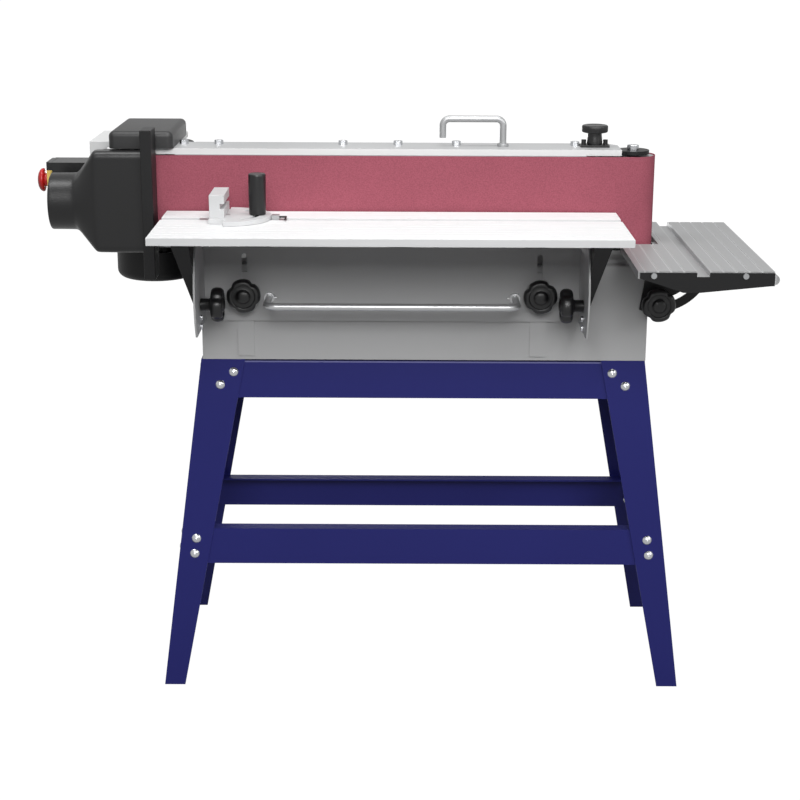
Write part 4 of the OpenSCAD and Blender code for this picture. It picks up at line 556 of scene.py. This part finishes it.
hood_cut = bmesh.new()
hood_cut.from_mesh(hood.data)
open_top = [face for face in hood_cut.faces if in_opening(face.calc_center_median())]
bmesh.ops.delete(hood_cut, geom=open_top, context="FACES")
bmesh.ops.remove_doubles(hood_cut, verts=hood_cut.verts, dist=1e-7)
hood_cut.to_mesh(hood.data)
hood_cut.free()

# Work stop: a channel folded from black painted sheet, closed at its top. It is screwed to the hood's
# right edge and stops the work at the left end of the belt.
stop_easing = 0.0012
eased("work_stop", stop_easing, black_paint)

# Switch: a black moulded box with a yellow hinged lid that carries the smooth red mushroom, and two
# buttons in the recess under the lid. The lid's hinge band is black.
moulding = {"grain": 500.0, "grain_depth": 0.05}
yellow_plastic = paint("yellow_plastic", (0.85, 0.62, 0.16), 0.4, **moulding)
red_plastic = paint("red_plastic", (0.5, 0.014, 0.014), 0.35, **moulding)
green_plastic = paint("green_plastic", (0.02, 0.22, 0.04), 0.35, **moulding)
box_easing, lid_easing = 0.0015, 0.0012
left, lid_face_x, hinge_z, mushroom_seat = (-1, 0, 0), -0.5826, 0.888, (-582.5, 94.0, 868.0)
eased("switch_box", box_easing, black_plastic)
lid = eased("switch_lid", lid_easing, yellow_plastic)
lid_only = bmesh.new()
lid_only.from_mesh(lid.data)
plain_mushroom = [face for face in lid_only.faces if face.calc_center_median().x < lid_face_x]
bmesh.ops.delete(lid_only, geom=plain_mushroom, context="FACES")
lid_only.to_mesh(lid.data)
lid_only.free()
level_cut(lid, (hinge_z,))
second_look(lid, per_face(lid, "center")[:, 2] > hinge_z, black_plastic)
mushroom_profile = [
    (0.05, -1, 0), (11, -1, 0), (11, 7.6, 0), (12, 8.4, 0), (17.6, 8.8, 0), (19.3, 9.7, 0), (20, 11.2, 0),
    (19.7, 13, 0), (18.6, 14.9, 0), (16.4, 16.9, 0), (13, 18.7, 0), (9, 19.8, 0), (4.5, 20.4, 0),
    (0.05, 20.5, 0)]
mushroom = surface("stop_mushroom", spun(mushroom_profile, mushroom_seat, left, up), red_plastic)
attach(mushroom, frame["nodes"]["switch_lid"]["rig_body"])
eased("start_button", small_easing, green_plastic)
eased("stop_button", small_easing, red_plastic)

# Table carrier: a folded grey panel with two wings that slides on the cabinet, a bent lift bar of bright
# steel to pull it by, and small bolts that stop the tilt.
for node, width, look in (("table_carrier", easing, grey_paint), ("lift_bar", small_easing, bright_steel),
                          ("stop_bolts", fine_easing, zinc_plate)):
    eased(node, width, look)


# Star knobs: moulded black phenolic with four broad lobes, a raised rim, a sunk face and a domed middle,
# on a steel screw that clamps the table, its tilt or the end table.
def four_notches(angle):
    """Four narrow scallops between broad lobes, each a bell curve of the angle from its middle."""
    first, depth, breadth = np.radians(55.0), 0.11, 0.21
    away = np.abs((angle - first + np.pi / 4.0) % (np.pi / 2.0) - np.pi / 4.0)
    return depth * np.exp(-(away / breadth) ** 2)


def star_profile(screw):
    """Screw, hub, rounded rim, sunk face and dome, from the screw's end outwards."""
    bend = np.radians(np.linspace(-90.0, 90.0, 13))
    rim = np.stack([22.5 + 6.0 * np.cos(bend), 28.0 + 10.0 * np.sign(bend) * np.abs(np.sin(bend)) ** 0.8,
                    np.ones(len(bend))], -1)
    hub = [(0.05, -screw, 0), (3.6, -screw, 0), (4, -screw + 0.5, 0), (4, 0, 0), (9.4, 0, 0), (10, 0.6, 0),
           (10, 14, 0), (11.5, 17, 0), (14, 18, 0), (19, 18.0, 0.5)]
    face = [(20.5, 38, 0.5), (19.4, 37.4, 0.2), (18.6, 36.4, 0), (13, 36.2, 0), (11.8, 36.8, 0),
            (11, 38.4, 0), (8.5, 40.0, 0), (5, 40.8, 0), (0.05, 41, 0)]
    return np.concatenate([hub, rim, face])


lock_screw, tilt_screw, end_screw = 14.1, 8.7, 10.8
for node, out, side, screw in (
        ("lock_knob_left", forward, right, lock_screw), ("lock_knob_right", forward, right, lock_screw),
        ("tilt_knob_left", right, up, tilt_screw), ("tilt_knob_right", left, up, tilt_screw),
        ("end_knob", forward, right, end_screw)):
    profile = star_profile(screw)
    seat = seat_of(node, profile, out)
    surface(node + "_moulded", spun(profile, seat, out, side, 192, four_notches), black_plastic, node)

# Main table: a wide ribbed aluminium extrusion with a mitre slot and a milled top, its front faces painted
# darker as shade, screwed to two black cast arms that swing on the carrier's wings.
milling = {"grain": 500.0, "grain_depth": 0.06, "blotch": 7.0}
bright_aluminium = paint("bright_aluminium", (0.76, 0.765, 0.77), 0.6, metallic=0.05, blotch_depth=0.03,
                         stretch=(0.02, 1.0, 1.0), gloss=0.2, **milling)
# A darker grey for the front faces of the main table: painted shade.
shaded_table_front = paint("shaded_table_front", (0.65, 0.655, 0.66), 0.5, metallic=0.25, blotch_depth=0.03,
                    stretch=(0.02, 1.0, 1.0), gloss=0.4, **milling)
table = eased("main_table", small_easing, bright_aluminium)
# Painted shade: the table's front faces are darker than its top.
second_look(table, facing(table, forward), shaded_table_front)
for node in ("table_arm_left", "table_arm_right"):
    eased(node, easing, black_paint)

# Mitre gauge: a silver bar and protractor plate, an extruded fence and a black turned handle on a screw
# that clamps the plate. A black bent rod serves as the pointer.
bar_easing, rod_x, rod_z = 0.0005, -0.1739, 0.838
cast_aluminium = paint("cast_aluminium", (0.6, 0.605, 0.61), 0.5, metallic=0.1, grain=300.0,
                       grain_depth=0.08, blotch=30.0, gloss=0.3)
gauge_bar = eased("gauge_bar", bar_easing, satin_steel)
bar_centre = per_face(gauge_bar, "center")
second_look(gauge_bar, (bar_centre[:, 0] > rod_x) & (bar_centre[:, 2] > rod_z), black_paint)
eased("gauge_head", small_easing, cast_aluminium)
eased("gauge_fence", easing, cast_aluminium)
handle_profile = [
    (0.05, -15.6, 0), (4, -15.6, 0), (4, 0, 0), (12.4, 0, 0), (13.3, 0.9, 0), (13.6, 8, 0), (13.9, 34, 0),
    (14, 62, 0), (13.8, 64.4, 0), (12.6, 65.8, 0), (11.5, 66, 0), (0.05, 66, 0)]
handle_seat = seat_of("gauge_handle", handle_profile, up)
surface("gauge_handle_turned", spun(handle_profile, handle_seat, up, right), black_plastic, "gauge_handle")

# End table: a grey aluminium extrusion with a painted highlight along the ridges between its grooves, black
# end plates held by bright screws, a rounded lip, and below it a black quadrant and ear on two brackets.
end_low, end_high = box_of("end_table")
# Paler bands along the ridges of the end table: a painted highlight.
ridge_offset, half_pitch, ridge_highlight = 0.0008, 0.01, (0.5, 0.505, 0.51)
ridge_start, ridge_full, plate_inset, screw_inset = 0.0074, 0.0096, 0.00595, 0.00295
end_aluminium = paint("end_aluminium", (0.34, 0.343, 0.346), 0.45, metallic=0.3, blotch_depth=0.05,
                      stretch=(1.0, 0.02, 1.0), gloss=0.4, **milling)
end_nodes = end_aluminium.node_tree.nodes
end_place = end_nodes.new("ShaderNodeTexCoord")
end_axes = end_nodes.new("ShaderNodeSeparateXYZ")
pitch = math_node(end_nodes, "SUBTRACT", end_low[0] + ridge_offset)
fold = math_node(end_nodes, "PINGPONG", half_pitch)
ridge = map_range(end_nodes, ridge_start, ridge_full)
ridge.interpolation_type = "SMOOTHSTEP"
# Blends the painted ridge highlight into the aluminium's tone.
ridge_highlight_mix = colour_mix(end_nodes, ridge_highlight)
connect(end_aluminium.node_tree,
        (end_place.outputs["Object"], end_axes.inputs["Vector"]),
        (end_axes.outputs["X"], pitch.inputs[0]),
        (pitch.outputs[0], fold.inputs[0]),
        (fold.outputs[0], ridge.inputs["Value"]),
        (ridge.outputs["Result"], ridge_highlight_mix.inputs["Factor"]),
        (end_nodes["Mix"].outputs["Result"], ridge_highlight_mix.inputs["A"]),
        (ridge_highlight_mix.outputs["Result"], end_nodes["Principled BSDF"].inputs["Base Color"]))
end_top = eased("end_table", small_easing, end_aluminium)
end_y = per_face(end_top, "center")[:, 1]
for inset, look in ((plate_inset, black_paint), (screw_inset, bare_steel)):
    second_look(end_top, (end_y < end_low[1] + inset) | (end_y > end_high[1] - inset), look)
for node in ("end_quadrants", "end_brackets"):
    eased(node, small_easing, black_paint)
